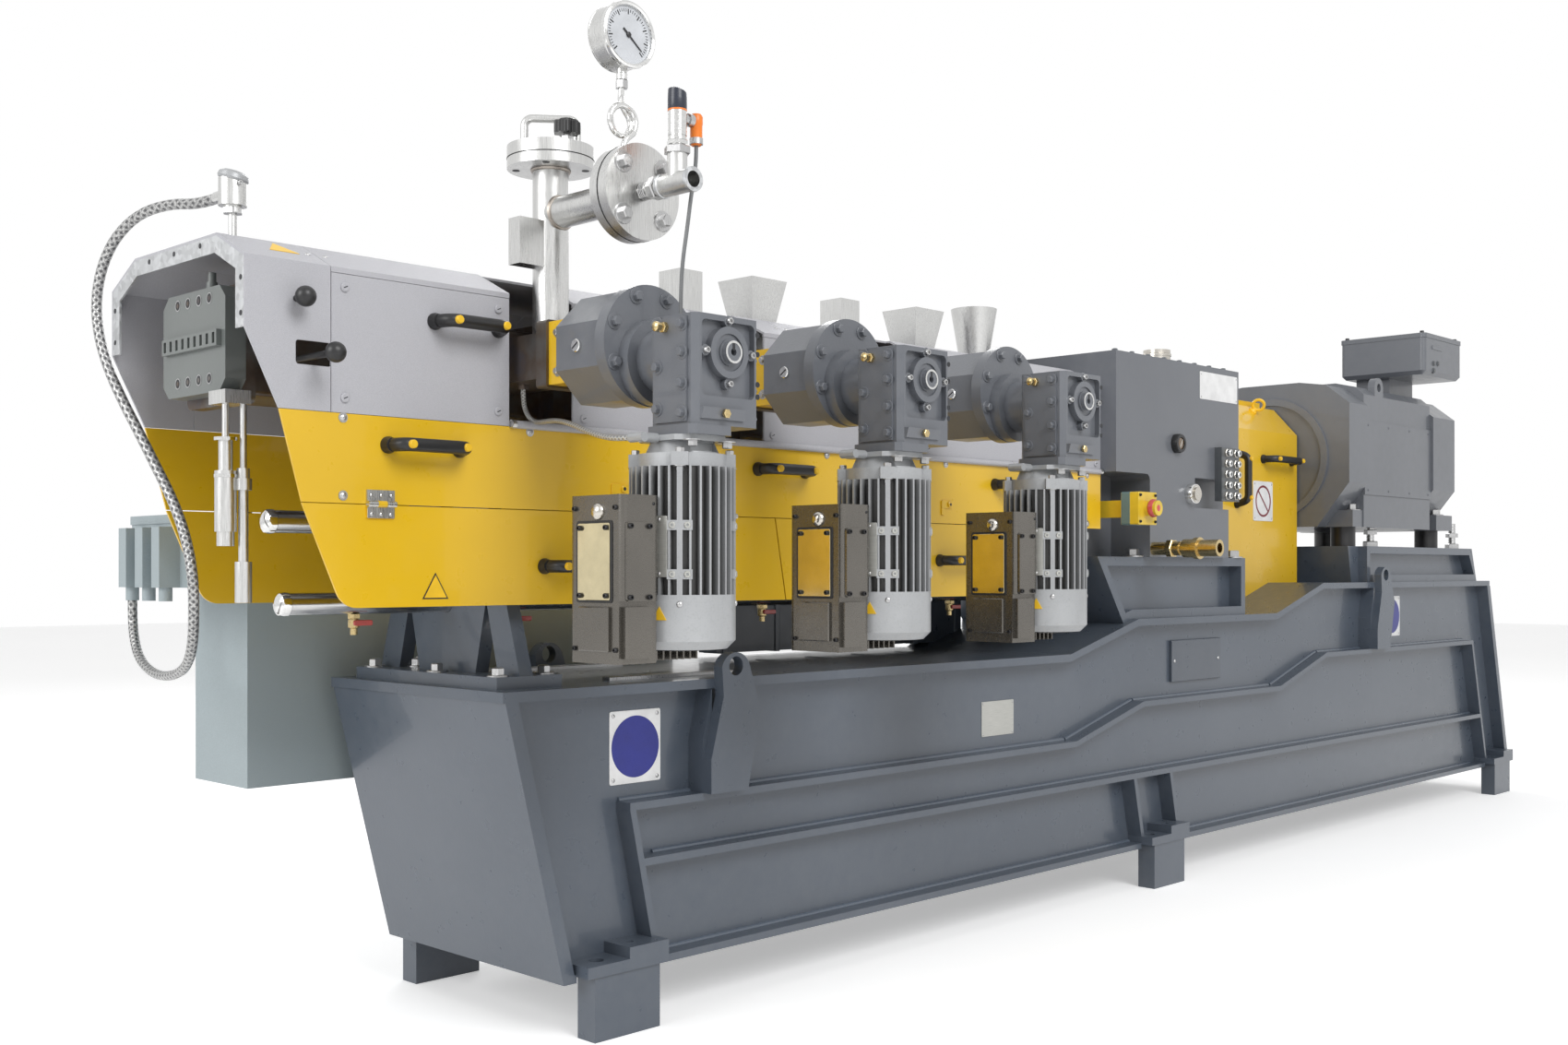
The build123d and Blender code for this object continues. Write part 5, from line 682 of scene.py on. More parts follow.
class Piece:
    """Gathers shapes in millimetres and makes one object of them at the origin."""

    def __init__(self, name, body="root"):
        self.name, self.body = name, body
        self.shapes, self.paints = [], []

    def add(self, shape, paint, at=(0, 0, 0), out=UP, turn=0.0):
        """Adds one shape, stood on a place with its z axis along out."""
        self.shapes.append(stand(shape, at, out, turn) if any(at) or out != UP or turn else shape)
        self.paints.append(paint)

    def each(self, shape, paint, places, out=UP):
        """Adds the shape at every one of the places."""
        for at in places:
            self.add(shape, paint, at, out)

    def make(self, replaces=()):
        names = list(dict.fromkeys(self.paints))
        points, faces = join(*self.shapes)
        mesh = bpy.data.meshes.new(self.name)
        mesh.from_pydata((points * 0.001 + ORIGIN).tolist(), [], faces)
        for name in names:
            mesh.materials.append(PAINTS[name])
        slots = np.concatenate([
            np.full(len(shape[1]), names.index(paint)) for shape, paint in zip(self.shapes, self.paints)])
        mesh.polygons.foreach_set("material_index", slots.astype(np.int32))
        mesh.polygons.foreach_set("use_smooth", np.ones(len(faces), bool))
        mesh.update()
        mesh.set_sharp_from_angle(angle=np.radians(SHARP_ANGLE))
        thing = bpy.data.objects.new(self.name, mesh)
        bpy.context.scene.collection.objects.link(thing)
        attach(thing, self.body)
        if replaces:
            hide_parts(*replaces)
        return thing


def ring_of(centre, radius, count, axis, start=0.0):
    """Points of a bolt circle about an axis."""
    x, y, _ = axes_of(axis)
    a = np.radians(start) + np.linspace(0, 2 * np.pi, count, endpoint=False)
    return np.asarray(centre, float) + radius * (np.cos(a)[:, None] * x + np.sin(a)[:, None] * y)


def off_axis(centre, radius, angle):
    """Point at a radius and an angle from an upright axis, and the way it faces."""
    out = (np.cos(np.radians(angle)), np.sin(np.radians(angle)), 0)
    return np.asarray(centre, float) + radius * np.array(out), out


def corners(centre, across, up):
    """Four points round a centre: to both sides along x, and up and down along z."""
    x, y, z = centre
    return [(x + dx, y, z + dz) for dx in (-across, across) for dz in (-up, up)]


def handle_insert():
    """Round cap over the screw of a handle."""
    return turned([(6.5, 0), (6.5, 5), (5.4, 6.6)], 24)


class EXTRUDER_OT_finishes(bpy.types.Operator):
    """Gives every CAD node its finish, apart from the cords"""

    bl_idname = "extruder.finishes"
    bl_label = "Finishes"

    def execute(self, context):
        mix_paints()
        given = {node: paint for paint, nodes in FINISHES.items() for node in nodes}
        for name, node in NODES.items():
            if name.startswith("cord_"):
                continue
            node.data.materials.clear()
            node.data.materials.append(PAINTS[given[name]])
        return {"FINISHED"}


class EXTRUDER_OT_base_details(bpy.types.Operator):
    """Weld beads, signs and plates on the base frame"""

    bl_idname = "extruder.base_details"
    bl_label = "Base details"

    def execute(self, context):
        bead = context.scene.extruder_fasteners.weld * 1000
        welds = Piece("base_welds")
        upper_rib = [(667, 378), (1999, 378), (2288, 452), (2993, 452), (3275, 533), (4375, 533)]
        runs = [(x0 + 3, z0, x1 - 3, z1, 4.0) for (x0, z0), (x1, z1) in zip(upper_rib, upper_rib[1:])]
        runs += [(745, z, 4430, z, 6.0) for z in (281.0, 110.0)]
        for y in (WEB_Y - 1.0, 1.0 - WEB_Y):
            for x0, z0, x1, z1, spacing in runs:
                path = straight((x0, y, z0 + 1), (x1, y, z1 + 1), spacing)
                # The beads' lighter paint is a painted highlight along the ribs' edges.
                welds.add(tube(path, bead, 8, 0.12, 9.0), "weld")
        welds.make()

        signs = Piece("base_signs")
        for x, z in ((709, 467.5), (3806, 626)):
            signs.add(tile(114, 125, 4, 1.6, 0.4), "label_white", (x, WEB_Y, z), NEAR)
            signs.add(disc(53, 0.4, 48), "label_blue", (x, WEB_Y - 1.6, z), NEAR)
            signs.each(dome(7), "screw_steel", corners((x, WEB_Y - 1.6, z), 49, 54.5), NEAR)
        signs.add(tile(116, 76, 3, 1.4, 0.3), "plate", (1747, WEB_Y, 446), NEAR)
        signs.each(dome(5), "screw_steel", corners((1747, WEB_Y - 1.4, 446), 53, 33), NEAR)
        signs.add(tile(247, 105, 2, 8, 1), "dark_plate", (2592, WEB_Y, 540), NEAR)
        signs.each(dome(9), "screw_steel", [(x, WEB_Y - 8, 540) for x in (2482, 2702)], NEAR)
        signs.make()
        return {"FINISHED"}


# Each cord's centre line from its exit on, in metres of the machine's frame.
ROUTES = {
    "die_end_hose": {
        "node": "cord_hose", "paint": "hose_braid", "diameter": 0.016, "length": 1.531,
        "points": [
            (0.030, -0.076, 1.317), (0.030, -0.020, 1.317), (0.022, 0.062, 1.330), (0.008, 0.140, 1.325),
            (-0.002, 0.205, 1.296), (-0.007, 0.246, 1.252), (-0.009, 0.262, 1.200), (-0.007, 0.256, 1.146),
            (-0.002, 0.232, 1.092), (0.006, 0.196, 1.038), (0.014, 0.152, 0.984), (0.020, 0.106, 0.930),
            (0.024, 0.062, 0.882), (0.026, 0.028, 0.836), (0.029, 0.010, 0.792), (0.033, 0.006, 0.746),
            (0.039, 0.018, 0.702), (0.052, 0.048, 0.662), (0.070, 0.098, 0.630), (0.088, 0.162, 0.608),
            (0.100, 0.230, 0.596), (0.110, 0.298, 0.593), (0.118, 0.359, 0.601), (0.124, 0.408, 0.619),
            (0.129, 0.438, 0.648), (0.132, 0.452, 0.681), (0.132, 0.452, 0.717)]},
    "sensor_cable": {
        "node": "cord_sensor", "paint": "cable_grey", "diameter": 0.006, "length": 0.267,
        "points": [
            (0.550, -0.5505, 1.405), (0.550, -0.5505, 1.375), (0.541, -0.549, 1.330), (0.535, -0.547, 1.280),
            (0.530, -0.542, 1.230), (0.532, -0.536, 1.185), (0.532, -0.536, 1.140)]},
    "drive_cable": {
        "node": "cord_motor", "paint": "sleeve", "diameter": 0.008, "length": 0.424,
        "points": [
            (0.404, -0.572, 0.958), (0.404, -0.540, 0.958), (0.414, -0.490, 0.966), (0.432, -0.430, 0.980),
            (0.454, -0.370, 0.995), (0.473, -0.312, 1.005), (0.485, -0.270, 1.007), (0.489, -0.235, 1.007),
            (0.489, -0.214, 1.019), (0.489, -0.202, 1.040), (0.489, -0.202, 1.063)]},
}


class EXTRUDER_OT_cords(bpy.types.Operator):
    """Hose at the die end and the two cables of the first feeder"""

    bl_idname = "extruder.cords"
    bl_label = "Cords"

    def execute(self, context):
        for name, route in ROUTES.items():
            points = np.asarray(route["points"]) + ORIGIN
            curve = bpy.data.curves.new(name, "CURVE")
            curve.dimensions = "3D"
            spline = curve.splines.new("NURBS")
            spline.points.add(len(points) - 1)
            weighted = np.column_stack([points, np.ones(len(points))])
            spline.points.foreach_set("co", weighted.ravel())
            spline.order_u = 3
            spline.use_endpoint_u = True
            curve.resolution_u = 8
            curve.bevel_depth = route["diameter"] / 2
            curve.bevel_resolution = 3
            curve.use_fill_caps = True
            curve.materials.append(PAINTS[route["paint"]])
            thing = bpy.data.objects.new(name, curve)
            context.scene.collection.objects.link(thing)
            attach(thing, "root")
            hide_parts(route["node"])
        return {"FINISHED"}


class EXTRUDER_OT_vent_details(bpy.types.Operator):
    """Bolts, knob, gauge dial, siphon and sensor parts of the vent pipe"""

    bl_idname = "extruder.vent_details"
    bl_label = "Vent details"

    def execute(self, context):
        x = FEEDER_X[0]
        trim = Piece("vent_trim")
        trim.each(hex_bolt(17), "screw_steel", ring_of((x, -473, BRANCH_Z), 55, 4, NEAR, 45), NEAR)
        trim.each(hex_bolt(17, False), "screw_steel", ring_of((x, -435, BRANCH_Z), 55, 4, FAR, 45), FAR)
        trim.add(washer(73.6, 60, 2, 48), "rubber", (x, -452, BRANCH_Z), NEAR)
        trim.add(washer(70.5, 60, 1.6, 48), "rubber", (x, STACK_Y, 1430.2))
        trim.each(disc(6, 0.5, 20), "recess", ring_of((x, STACK_Y, 1415), 56, 4, DOWN, 45), DOWN)
        foot_seam = band([(32.5, 0), (31.5, 3), (28.5, 4), (28.5, 0)], 40)
        trim.add(foot_seam, "weld_steel", (x, STACK_Y, 1414.6), DOWN)
        branch_seam = band([(28.5, 0), (27, 4), (24.5, 4.5), (24.5, 0)], 36)
        trim.add(branch_seam, "weld_steel", (x, -272, BRANCH_Z), NEAR)
        trim.add(branch_seam, "weld_steel", (x, -435.2, BRANCH_Z), FAR)
        mouth = band([(18.4, 0), (18.8, 2), (18.4, 5), (12.3, 5), (12.3, 0)], 32)
        trim.add(mouth, "zinc", (x, -581.6, BRANCH_Z), NEAR)
        trim.add(band([(18.6, 0), (18.6, 5), (16.6, 6), (16.6, 0)], 32), "zinc", (x, -517, BRANCH_Z), NEAR)
        trim.add(nut(31, 12, 1.5), "screw_steel", (x, -497, BRANCH_Z), NEAR)
        thread = band([(13.4, 0), (14.1, 0.9), (13.4, 1.8), (12, 1.8), (12, 0)], 24)
        trim.each(thread, "screw_steel", [(x, -475.5 - 3.4 * step, BRANCH_Z) for step in range(4)], NEAR)
        knob = (x - 10, -300)
        trim.add(tube(straight((*knob, 1450), (*knob, 1466), 2), 5.2, 12, 0.06, 3.0), "screw_steel")
        trim.add(nut(17, 8), "screw_steel", (*knob, 1451))
        trim.add(plate(star(19, 2.4, 9, 90), 21, 3), "black", (*knob, 1462))
        trim.add(turned([(12, 0), (12, 2), (6, 3.2)], 24), "black", (*knob, 1483))
        trim.make()

        gauge = Piece("gauge_face")
        rim = [(50.2, -4), (51.4, 1.5), (50.6, 5), (47.5, 6.5), (44.6, 5), (43.8, 2), (43.8, -4)]
        gauge.add(band(rim, 64), "polished", (x, -438, GAUGE_Z), NEAR)
        gauge.add(disc(43.9, 0.5, 64), "dial", (x, -438, GAUGE_Z), NEAR)
        long_tick = plate(rectangle(1.9, 8) + (0, 35.5), 0.3)
        short_tick = plate(rectangle(1.0, 4.5) + (0, 37.2), 0.3)
        for number in range(41):
            tick = short_tick if number % 5 else long_tick
            gauge.add(tick, "ink", (x, -438.5, GAUGE_Z), NEAR, 135 - 270 * number / 40)
        needle = plate([(-1.7, -13), (1.7, -13), (0.8, 33), (-0.8, 33)], 0.7)
        gauge.add(needle, "ink", (x, -439.2, GAUGE_Z), NEAR, -128)
        gauge.add(turned([(4.2, 0), (4.2, 2), (2.6, 3)], 24), "ink", (x, -439, GAUGE_Z), NEAR)
        back_rim = band([(50.6, 0), (50.6, 2.4), (47, 3), (47, 0)], 64)
        gauge.add(back_rim, "polished", (x, -405.2, GAUGE_Z), FAR)
        gauge.make()

        siphon = Piece("siphon_pipe")
        share = np.linspace(0, 1, 46)
        a = np.radians(np.linspace(-55, 395, len(share)))
        r = 25.0 - 4.5 * share
        loop = np.column_stack([x + r * np.cos(a), -428 + 10 * share, 1460.5 + r * np.sin(a)])
        lower = bent([(x, -428, 1378), (x, -428, 1405), (x, -428, 1424), (x + 6, -428, 1434), loop[0]], 6)
        upper = bent([loop[-1], (x + 6, -418, 1483), (x, -420, 1494), (x, -423, 1506), (x, -423, 1526)], 6)
        siphon.add(tube(np.concatenate([lower[:-1], loop, upper[1:]]), 5.0, 14), "polished")
        siphon.add(nut(19, 14, 1.5), "screw_steel", (x, -425, 1381))
        siphon.add(nut(17, 13, 1.5), "screw_steel", (x, -423, 1510))
        siphon.add(turned([(9, 0), (9, 9), (7, 11), (7, 14)], 24), "polished", (x, -423, 1523))
        siphon.make(replaces=["gauge_siphon"])

        sensor = Piece("sensor_body")
        sensor.add(turned([(10.5, 0), (10.5, 22)], 28), "polished", (x, SENSOR_Y, 1384))
        sensor.add(nut(35, 11, 1.5), "screw_steel", (x, SENSOR_Y, 1386))
        sensor.add(nut(28, 7), "polished", (x, SENSOR_Y, 1399))
        body = turned([(11, 0), (14, 1), (14, 5), (13.2, 5.5), (13.2, 7), (14, 7.5), (14, 44)], 40)
        sensor.add(body, "polished", (x, SENSOR_Y, 1405))
        sensor.add(turned([(14.4, 0), (14.4, 2.6)], 40), "orange", (x, SENSOR_Y, 1448.6))
        points, faces = turned([(14, 0), (14.4, 1), (14.4, 16), (13.8, 31), (9, 34.5), (2, 35)], 40)
        points[:, 2] -= np.where(points[:, 2] > 20, (points[:, 0] + 15) * 0.28, 0)
        sensor.add((points, faces), "cap", (x, SENSOR_Y, 1451))
        socket = turned([(7.5, 0), (7.5, 8), (9.6, 8), (9.6, 17), (8, 18)], 28)
        sensor.add(socket, "screw_steel", (x + 12, SENSOR_Y, 1440.5), REAR)
        sensor.add(turned([(7.6, 0), (7.6, 14)], 24), "orange", (x + 28, SENSOR_Y, 1440.5), REAR)
        plug = turned([(7, 0), (9.2, 3), (9.2, 30), (9.9, 32), (9.9, 43), (7.5, 47)], 32)
        sensor.add(plug, "orange", (x + 38, SENSOR_Y, 1405))
        sensor.add(washer(10.2, 8.8, 9), "screw_steel", (x + 38, SENSOR_Y, 1407))
        sensor.make(replaces=["vent_sensor"])
        return {"FINISHED"}


class EXTRUDER_OT_feeder_details(bpy.types.Operator):
    """Bolts, plugs, covers and plates of the three side feeders"""

    bl_idname = "extruder.feeder_details"
    bl_label = "Feeder details"

    def execute(self, context):
        small = context.scene.extruder_fasteners.hex_small * 1000
        bolts, trim, drives = Piece("feeder_bolts"), Piece("feeder_trim"), Piece("drive_trim")
        gear_screws = [(-584, z) for z in (1122, 1060, 1000)]
        gear_screws += [(-636, z) for z in (1118, 1078, 1034, 992)]
        for x0 in FEEDER_X:
            axis = x0 - DRIVE_SHIFT
            bolts.each(hex_bolt(small), "drive_paint", ring_of((x0, -492, SCREW_Z), 78, 8, NEAR, 22.5), NEAR)
            bolts.each(socket_screw(10), "screw_steel", ring_of((x0, -660, GEAR_Z), 45, 4, NEAR), NEAR)
            trim.add(washer(30, 28.5, 1.2, 40), "recess", (x0, -653, GEAR_Z), NEAR)
            trim.add(tile(4.5, 11, 1, 0.5), "recess", (x0, -671, GEAR_Z + 8), NEAR)
            for outer in (35.5, 24.5):
                trim.add(washer(outer, outer - 2, 1, 40), "drive_paint", (x0, -653, GEAR_Z), NEAR)
            holes = [(x0 + 58.5, -660, z) for z in (1112, 1084, 1040, 1022)]
            trim.each(disc(4.2, 0.4, 18), "recess", holes, NEAR)
            trim.add(washer(16.3, 13, 1), "polished", (x0, -671, GEAR_Z), NEAR)
            for side, out in ((-68, FRONT), (68, REAR)):
                bolts.each(hex_bolt(11), "drive_paint", [(x0 + side, y, z) for y, z in gear_screws], out)
            breather = join(nut(14, 7), turned([(5, 6), (5, 13), (7, 14), (7, 19), (4, 21)], 20))
            trim.add(breather, "brass", (x0 - 68, -600, 1116), FRONT)
            trim.add(nut(17, 6), "nickel", (x0 + 20, -536, 1127))
            plug = turned([(10, 0), (10, 4), (8.8, 5.4)], 32)
            trim.add(plug, "polished", (x0 - 82, -418, SCREW_Z), FRONT)
            trim.add(tile(15, 2.2, 0, 0.4), "recess", (x0 - 87.4, -418, SCREW_Z), FRONT, 35)
            trim.add(plug, "polished", (x0 + 82, -418, SCREW_Z), REAR)
            for z in (SCREW_Z - 30, SCREW_Z + 30):
                for side, out in ((-61, FRONT), (61, REAR)):
                    bolts.add(hex_bolt(9), "screw_steel", (x0 + side, -343, z), out)
            bolts.each(hex_bolt(small), "screw_steel", [(axis + dx, -653, 954) for dx in (-34, 34)], DOWN)
            trim.add(nut(12, 5, 0.8), "brass", (x0 - 14, -669, 992), NEAR)

            for z, out, on_washer in ((917, DOWN, True), (936, UP, False)):
                ring = ring_of((axis, DRIVE_Y, z), 68, 4, out, 45)
                bolts.each(hex_bolt(11, on_washer), "screw_steel", ring, out)
            for angle in (45, 135, 225, 315):
                bolts.add(dome(9), "screw_steel", *off_axis((axis, DRIVE_Y, 722), 77, angle))
            at, out = off_axis((axis, DRIVE_Y, 803), 77, 203)
            drives.add(tile(25, 86, 2, 1.4, 0.3), "plate", at, out)
            for dz in (-38, 38):
                bolts.add(dome(5), "screw_steel", at + 1.4 * np.array(out) + (0, 0, dz), out)
            boss = turned([(5, 0), (5, 3), (4, 4), (2, 4), (2, 2)], 16)
            for angle in (37, 53, 127, 143, 217, 233, 307, 323):
                for z in (764, 833):
                    bolts.add(boss, "plate", *off_axis((axis, DRIVE_Y, z), 75.5, angle))
            at, out = off_axis((axis, DRIVE_Y, 706), 76.6, 203)
            drives.add(plate(circle(13, 3), 1.2, 0.2), "insert_yellow", at, out, 90)
            drives.add(washer(52, 49, 1.6, 40), "recess", (axis, DRIVE_Y, 657), DOWN)
            for radius in (42, 34, 26, 18, 10):
                drives.add(washer(radius, radius - 2.4, 1.8), "screw_steel", (axis, DRIVE_Y, 656.6), DOWN)

            lid, lid_y, lid_z = x0 - 175.0, -574, 781.5
            drives.add(tile(78, 114, 4, 1.6, 0.5), "rubber", (lid, lid_y, lid_z), FRONT)
            drives.add(tile(70, 107, 3, 1, 0.4), "lid_mirror", (lid - 1.6, lid_y, lid_z), FRONT)
            drives.add(tile(66, 62, 2, 5, 1.5), "inverter_cast", (lid, -575, 688), FRONT)
            knob = turned([(12, 0), (12, 1.5), (10, 5), (6, 7.4), (1, 8.2)], 36)
            drives.add(knob, "nickel", (lid, -582, 851), FRONT)
            screw = socket_screw(7.5)
            for sx in (-1, 1):
                for sz in (-1, 1):
                    drives.add(screw, "dark_screw", (x0 - 148.0 + sx * 17, -638, lid_z + sz * 49), NEAR)
                    drives.add(screw, "dark_screw", (lid - 2.6, lid_y + sx * 29, lid_z + sz * 47), FRONT)
            grooves = [(x0 - 153 + dx, -626.6, 683) for dx in (-12, 12)]
            drives.each(tile(1, 62, 0, 0.5), "recess", grooves, NEAR)
            drives.add(dome(5), "dark_screw", (x0 - 119, -634, 862), NEAR)
            ends = [(lid, y, z) for z in (660, 856) for y in (-531, -620)]
            drives.each(socket_screw(7), "dark_screw", ends, FRONT)
        bolts.make()
        trim.make()
        drives.make()
        return {"FINISHED"}


class EXTRUDER_OT_cover_details(bpy.types.Operator):
    """Handles, screws, latches and blank labels of the cover and the skirts"""

    bl_idname = "extruder.cover_details"
    bl_label = "Cover details"

    def execute(self, context):
        grips = (
            ("panel_bows", "root", ["panel_handles"],
             ((367, 1151, 117), (290, 957, 126), (1070, 957, 126), (1800, 957, 126))),
            ("front_flap_bow", "flap_front", ["flap_front_handle"], ((570, 776, 106),)),
            ("rear_flap_bow", "flap_rear", ["flap_rear_handle"], ((1598, 790, 106),)),
        )
        foot = turned([(13, 0), (13, 4), (11, 9), (10.5, 14)], 28)
        for name, body, replaced, places in grips:
            piece = Piece(name, body)
            for x, z, length in places:
                piece.add(bow(length, 36, 10.5, 3), "black", (x, COVER_Y, z), NEAR)
                for side in (-1, 1):
                    piece.add(foot, "black", (x + side * length / 2, COVER_Y, z), NEAR)
                    at = (x + side * (length / 2 - 15), COVER_Y - 43, z)
                    piece.add(handle_insert(), "insert_yellow", at, NEAR)
            piece.make(replaces=replaced)

        screws = Piece("cover_screws")
        places = [
            (152, 993), (152, 879), (488, 993), (812, 993), (812, 879), (1196, 993), (1196, 879),
            (1566, 993), (1890, 993), (2100, 993), (2100, 879)]
        for x, z in places:
            screws.add(washer(7.5, 3, 1.2, 20), "screw_steel", (x, COVER_Y, z), NEAR)
            screws.add(dome(11), "screw_steel", (x, COVER_Y - 1.1, z), NEAR)
        for x in (676, 1569):
            screws.add(tile(38, 17, 3, 3, 0.6), "guard_paint", (x, COVER_Y, 908), NEAR)
            screws.add(tile(12, 16, 3, 3, 0.6), "guard_paint", (x - 13, COVER_Y, 893), NEAR)
            knob = turned([(6, 0), (6, 3), (4.6, 4)], 24)
            screws.add(knob, "guard_paint", (x + 6, COVER_Y - 3, 908), NEAR)
            screws.add(disc(3, 0.4, 16), "recess", (x + 6, COVER_Y - 7, 908), NEAR)
        latch = turned([(7, 0), (7, 2.4), (5.6, 3.4)], 24)
        for first, last in ((133, 448), (576, 896), (1024, 1356), (1484, 2157)):
            for x in (first + 22, last - 22):
                for z in (1022, 1184):
                    screws.add(latch, "cover_paint", (x, COVER_Y, z), NEAR)
                    screws.add(tile(7, 1.3, 0, 0.4), "recess", (x, COVER_Y - 3.4, z), NEAR, 25)
        slope = (0.0, -0.434, 0.901)
        far_slope = (0.0, 0.434, 0.901)
        for x in (133, 740, 1113, 1345, 1602, 1840):
            for dx in (-14, 14):
                screws.add(dome(8), "screw_steel", (x + dx, -178.5, 1232.6), slope)
                screws.add(dome(8), "screw_steel", (x + dx, 178.5, 1232.6), far_slope)
        places = [(0, y, z) for half, z in ((85, 1241), (209, 1180)) for y in (-half, half)]
        places += [(0, y, z) for y, z in ((0, 1241), (-209, 1130), (209, 1130))]
        screws.each(disc(4, 0.4, 16), "recess", places, FRONT)
        screws.make()

        rail = Piece("cover_rail")
        line = straight((452, COVER_Y - 4, 1003), (2150, COVER_Y - 4, 1003), 40)
        rail.add(tube(line, 6.5, 16), "cover_paint")
        places = [(x - 4, COVER_Y - 4, 1003) for x in (452, 900, 1350, 1800, 2150)]
        rail.each(washer(7.4, 5, 8, 24), "steel", places, REAR)
        front_hinges, rear_hinges = (213.5, 923.5), (1273.5, 1983.5)
        places = [(x + dx, -225, 881) for x in front_hinges for dx in (-17, 0, 17)]
        rail.each(dome(6), "screw_steel", places, NEAR)
        rail.make()
        for name, body, hinges in (("front_hinge_leaves", "flap_front", front_hinges),
                                   ("rear_hinge_leaves", "flap_rear", rear_hinges)):
            leaves = Piece(name, body)
            for x in hinges:
                leaves.add(tile(46, 16, 1.5, 0.8, 0.2), "steel", (x, -224, 855), NEAR)
                leaves.each(dome(6), "screw_steel", [(x + dx, -224.8, 853) for dx in (-16, 0, 16)], NEAR)
            leaves.make()

        labels = Piece("blank_labels")
        labels.add(plate(circle(27, 3), 0.8, 0.2), "insert_yellow", (80, -171.6, 1235.8), slope, 90)
        labels.make()
        flap_label = Piece("blank_flap_label", "flap_front")
        flap_label.add(disc(27, 0.5, 3), "ink", (310, COVER_Y, 739), NEAR, 90)
        flap_label.add(disc(23, 0.9, 3), "insert_yellow", (310, COVER_Y, 739), NEAR, 90)
        flap_label.make()
        return {"FINISHED"}


class EXTRUDER_OT_gear_details(bpy.types.Operator):
    """Bolts, sight glass, button, ports and plates of the gear housing and its guard"""

    bl_idname = "extruder.gear_details"
    bl_label = "Gear housing details"

    def execute(self, context):
        large = context.scene.extruder_fasteners.hex_large * 1000
        bolts, fittings = Piece("housing_bolts"), Piece("housing_fittings")
        for y, foot_y in ((-238, -228.0), (238, 228.0)):
            lid_screws = [(x, y, 1290) for x in np.linspace(2192, 2712, 8)]
            bolts.each(hex_bolt(large * 0.5), "machine_paint", lid_screws)
            bolts.each(hex_bolt(large * 1.1), "screw_steel", [(x, foot_y, 802) for x in (2290, 2785)])
        bolts.make()

        face = HOUSING_Y
        fittings.add(tile(192, 70, 3, 1.2, 0.3), "label_white", (2642, face, 1240), NEAR)
        fittings.each(dome(5), "screw_steel", corners((2642, face - 1.2, 1240), 90, 29), NEAR)
        bezel = band([(24, 0), (24, 11), (22, 16), (15, 16), (15, 0)], 40)
        fittings.add(bezel, "black", (2430, face, 1084), NEAR)
        glass = turned([(15.2, 0), (15.2, 13), (11, 14.4), (4, 15)], 36)
        fittings.add(glass, "sight", (2430, face, 1084), NEAR)
        fittings.add(tile(22, 3, 0, 0.6), "nickel", (2430, face - 15, 1084), NEAR, 60)
        cover = turned([(26, 0), (26, 16), (24, 19), (22, 19)], 44)
        fittings.add(cover, "polished", (2497, face, 961), NEAR)
        fittings.add(washer(22, 19, 1, 44), "nickel", (2497, face - 19, 961), NEAR)
        fittings.add(tile(28, 6, 2, 3, 1), "polished", (2497, face - 19, 961), NEAR, 70)
        button = turned([(19, 0), (21.5, 4), (20.5, 11), (15, 17), (7, 20.4), (1, 21.3)], 40)
        fittings.add(button, "red", (2199, -333, 915), NEAR)
        fittings.add(turned([(14, 0), (14, 12)], 32), "brass", (2199, -322, 915), NEAR)
        fittings.add(tile(83, 78, 5, 24, 1), "box_blue", (2199, -277.5, 915), NEAR)
        fittings.each(socket_screw(6.5), "dark_screw", corners((2199, -323, 915), 33, 31), NEAR)
        cup = turned([(8.8, 0), (8.8, 4), (7, 5.6), (4.5, 5.6), (4.5, 3.4)], 24)
        for x in (2644.75, 2690.25):
            for row in range(-2, 3):
                z = 1016 + 27.6 * row
                fittings.add(nut(19, 6), "nickel", (x, -284, z), NEAR)
                fittings.add(cup, "polished", (x, -294, z), NEAR)
        fittings.each(socket_screw(8), "dark_screw", [(2667.5, -284, z) for z in (956, 1076)], NEAR)
        fittings.add(nut(40, 15, 2), "brass", (2325, -306, 822), NEAR)
        fittings.add(band([(36, 0), (36, 6), (33, 8), (28, 8), (28, 0)], 40), "nickel", (2480, -180, 1312))
        fittings.make()

        guard = Piece("guard_fittings")
        guard.add(bow(142, 38, 10.5, 2), "black", (3060, GUARD_Y, 1030), NEAR, 90)
        guard.add(bow(176, 38, 10.5, 2), "black", (3306, GUARD_Y, 1094), NEAR)
        feet = [(x, GUARD_Y, z) for x, z in ((3060, 959), (3060, 1101), (3218, 1094), (3394, 1094))]
        guard.each(turned([(13, 0), (13, 5), (11, 9)], 28), "black", feet, NEAR)
        inserts = [(x, GUARD_Y - 45, z) for x, z in ((3060, 975), (3060, 1085), (3234, 1094), (3378, 1094))]
        guard.each(handle_insert(), "insert_yellow", inserts, NEAR)
        guard.add(tile(118, 116, 5, 1.6, 0.4), "label_white", (3218, GUARD_Y, 971), NEAR)
        sign = (3218, GUARD_Y - 1.6, 971)
        guard.add(washer(46, 40, 0.5, 64), "dark_red", sign, NEAR)
        guard.add(tile(81, 5, 0, 0.5), "dark_red", sign, NEAR, -45)
        guard.each(dome(6), "screw_steel", corners(sign, 51, 50), NEAR)
        slope = (0.0, -0.738, 0.675)
        eye_foot = (3272, -30, 1241.6)
        guard.add(turned([(13, 0), (13, 4), (8, 8), (6, 12)], 28), "insert_yellow", eye_foot, slope)
        middle = np.array(eye_foot) + 26 * np.array(slope)
        across = np.array([-0.543, 0.567, 0.619])
        turns = np.linspace(0, 2 * np.pi, 33)[:-1]
        eye = [middle + 16 * (np.cos(a) * across + np.sin(a) * np.array(slope)) for a in turns]
        guard.add(torus(eye, 4.6), "insert_yellow")
        guard.make()
        return {"FINISHED"}


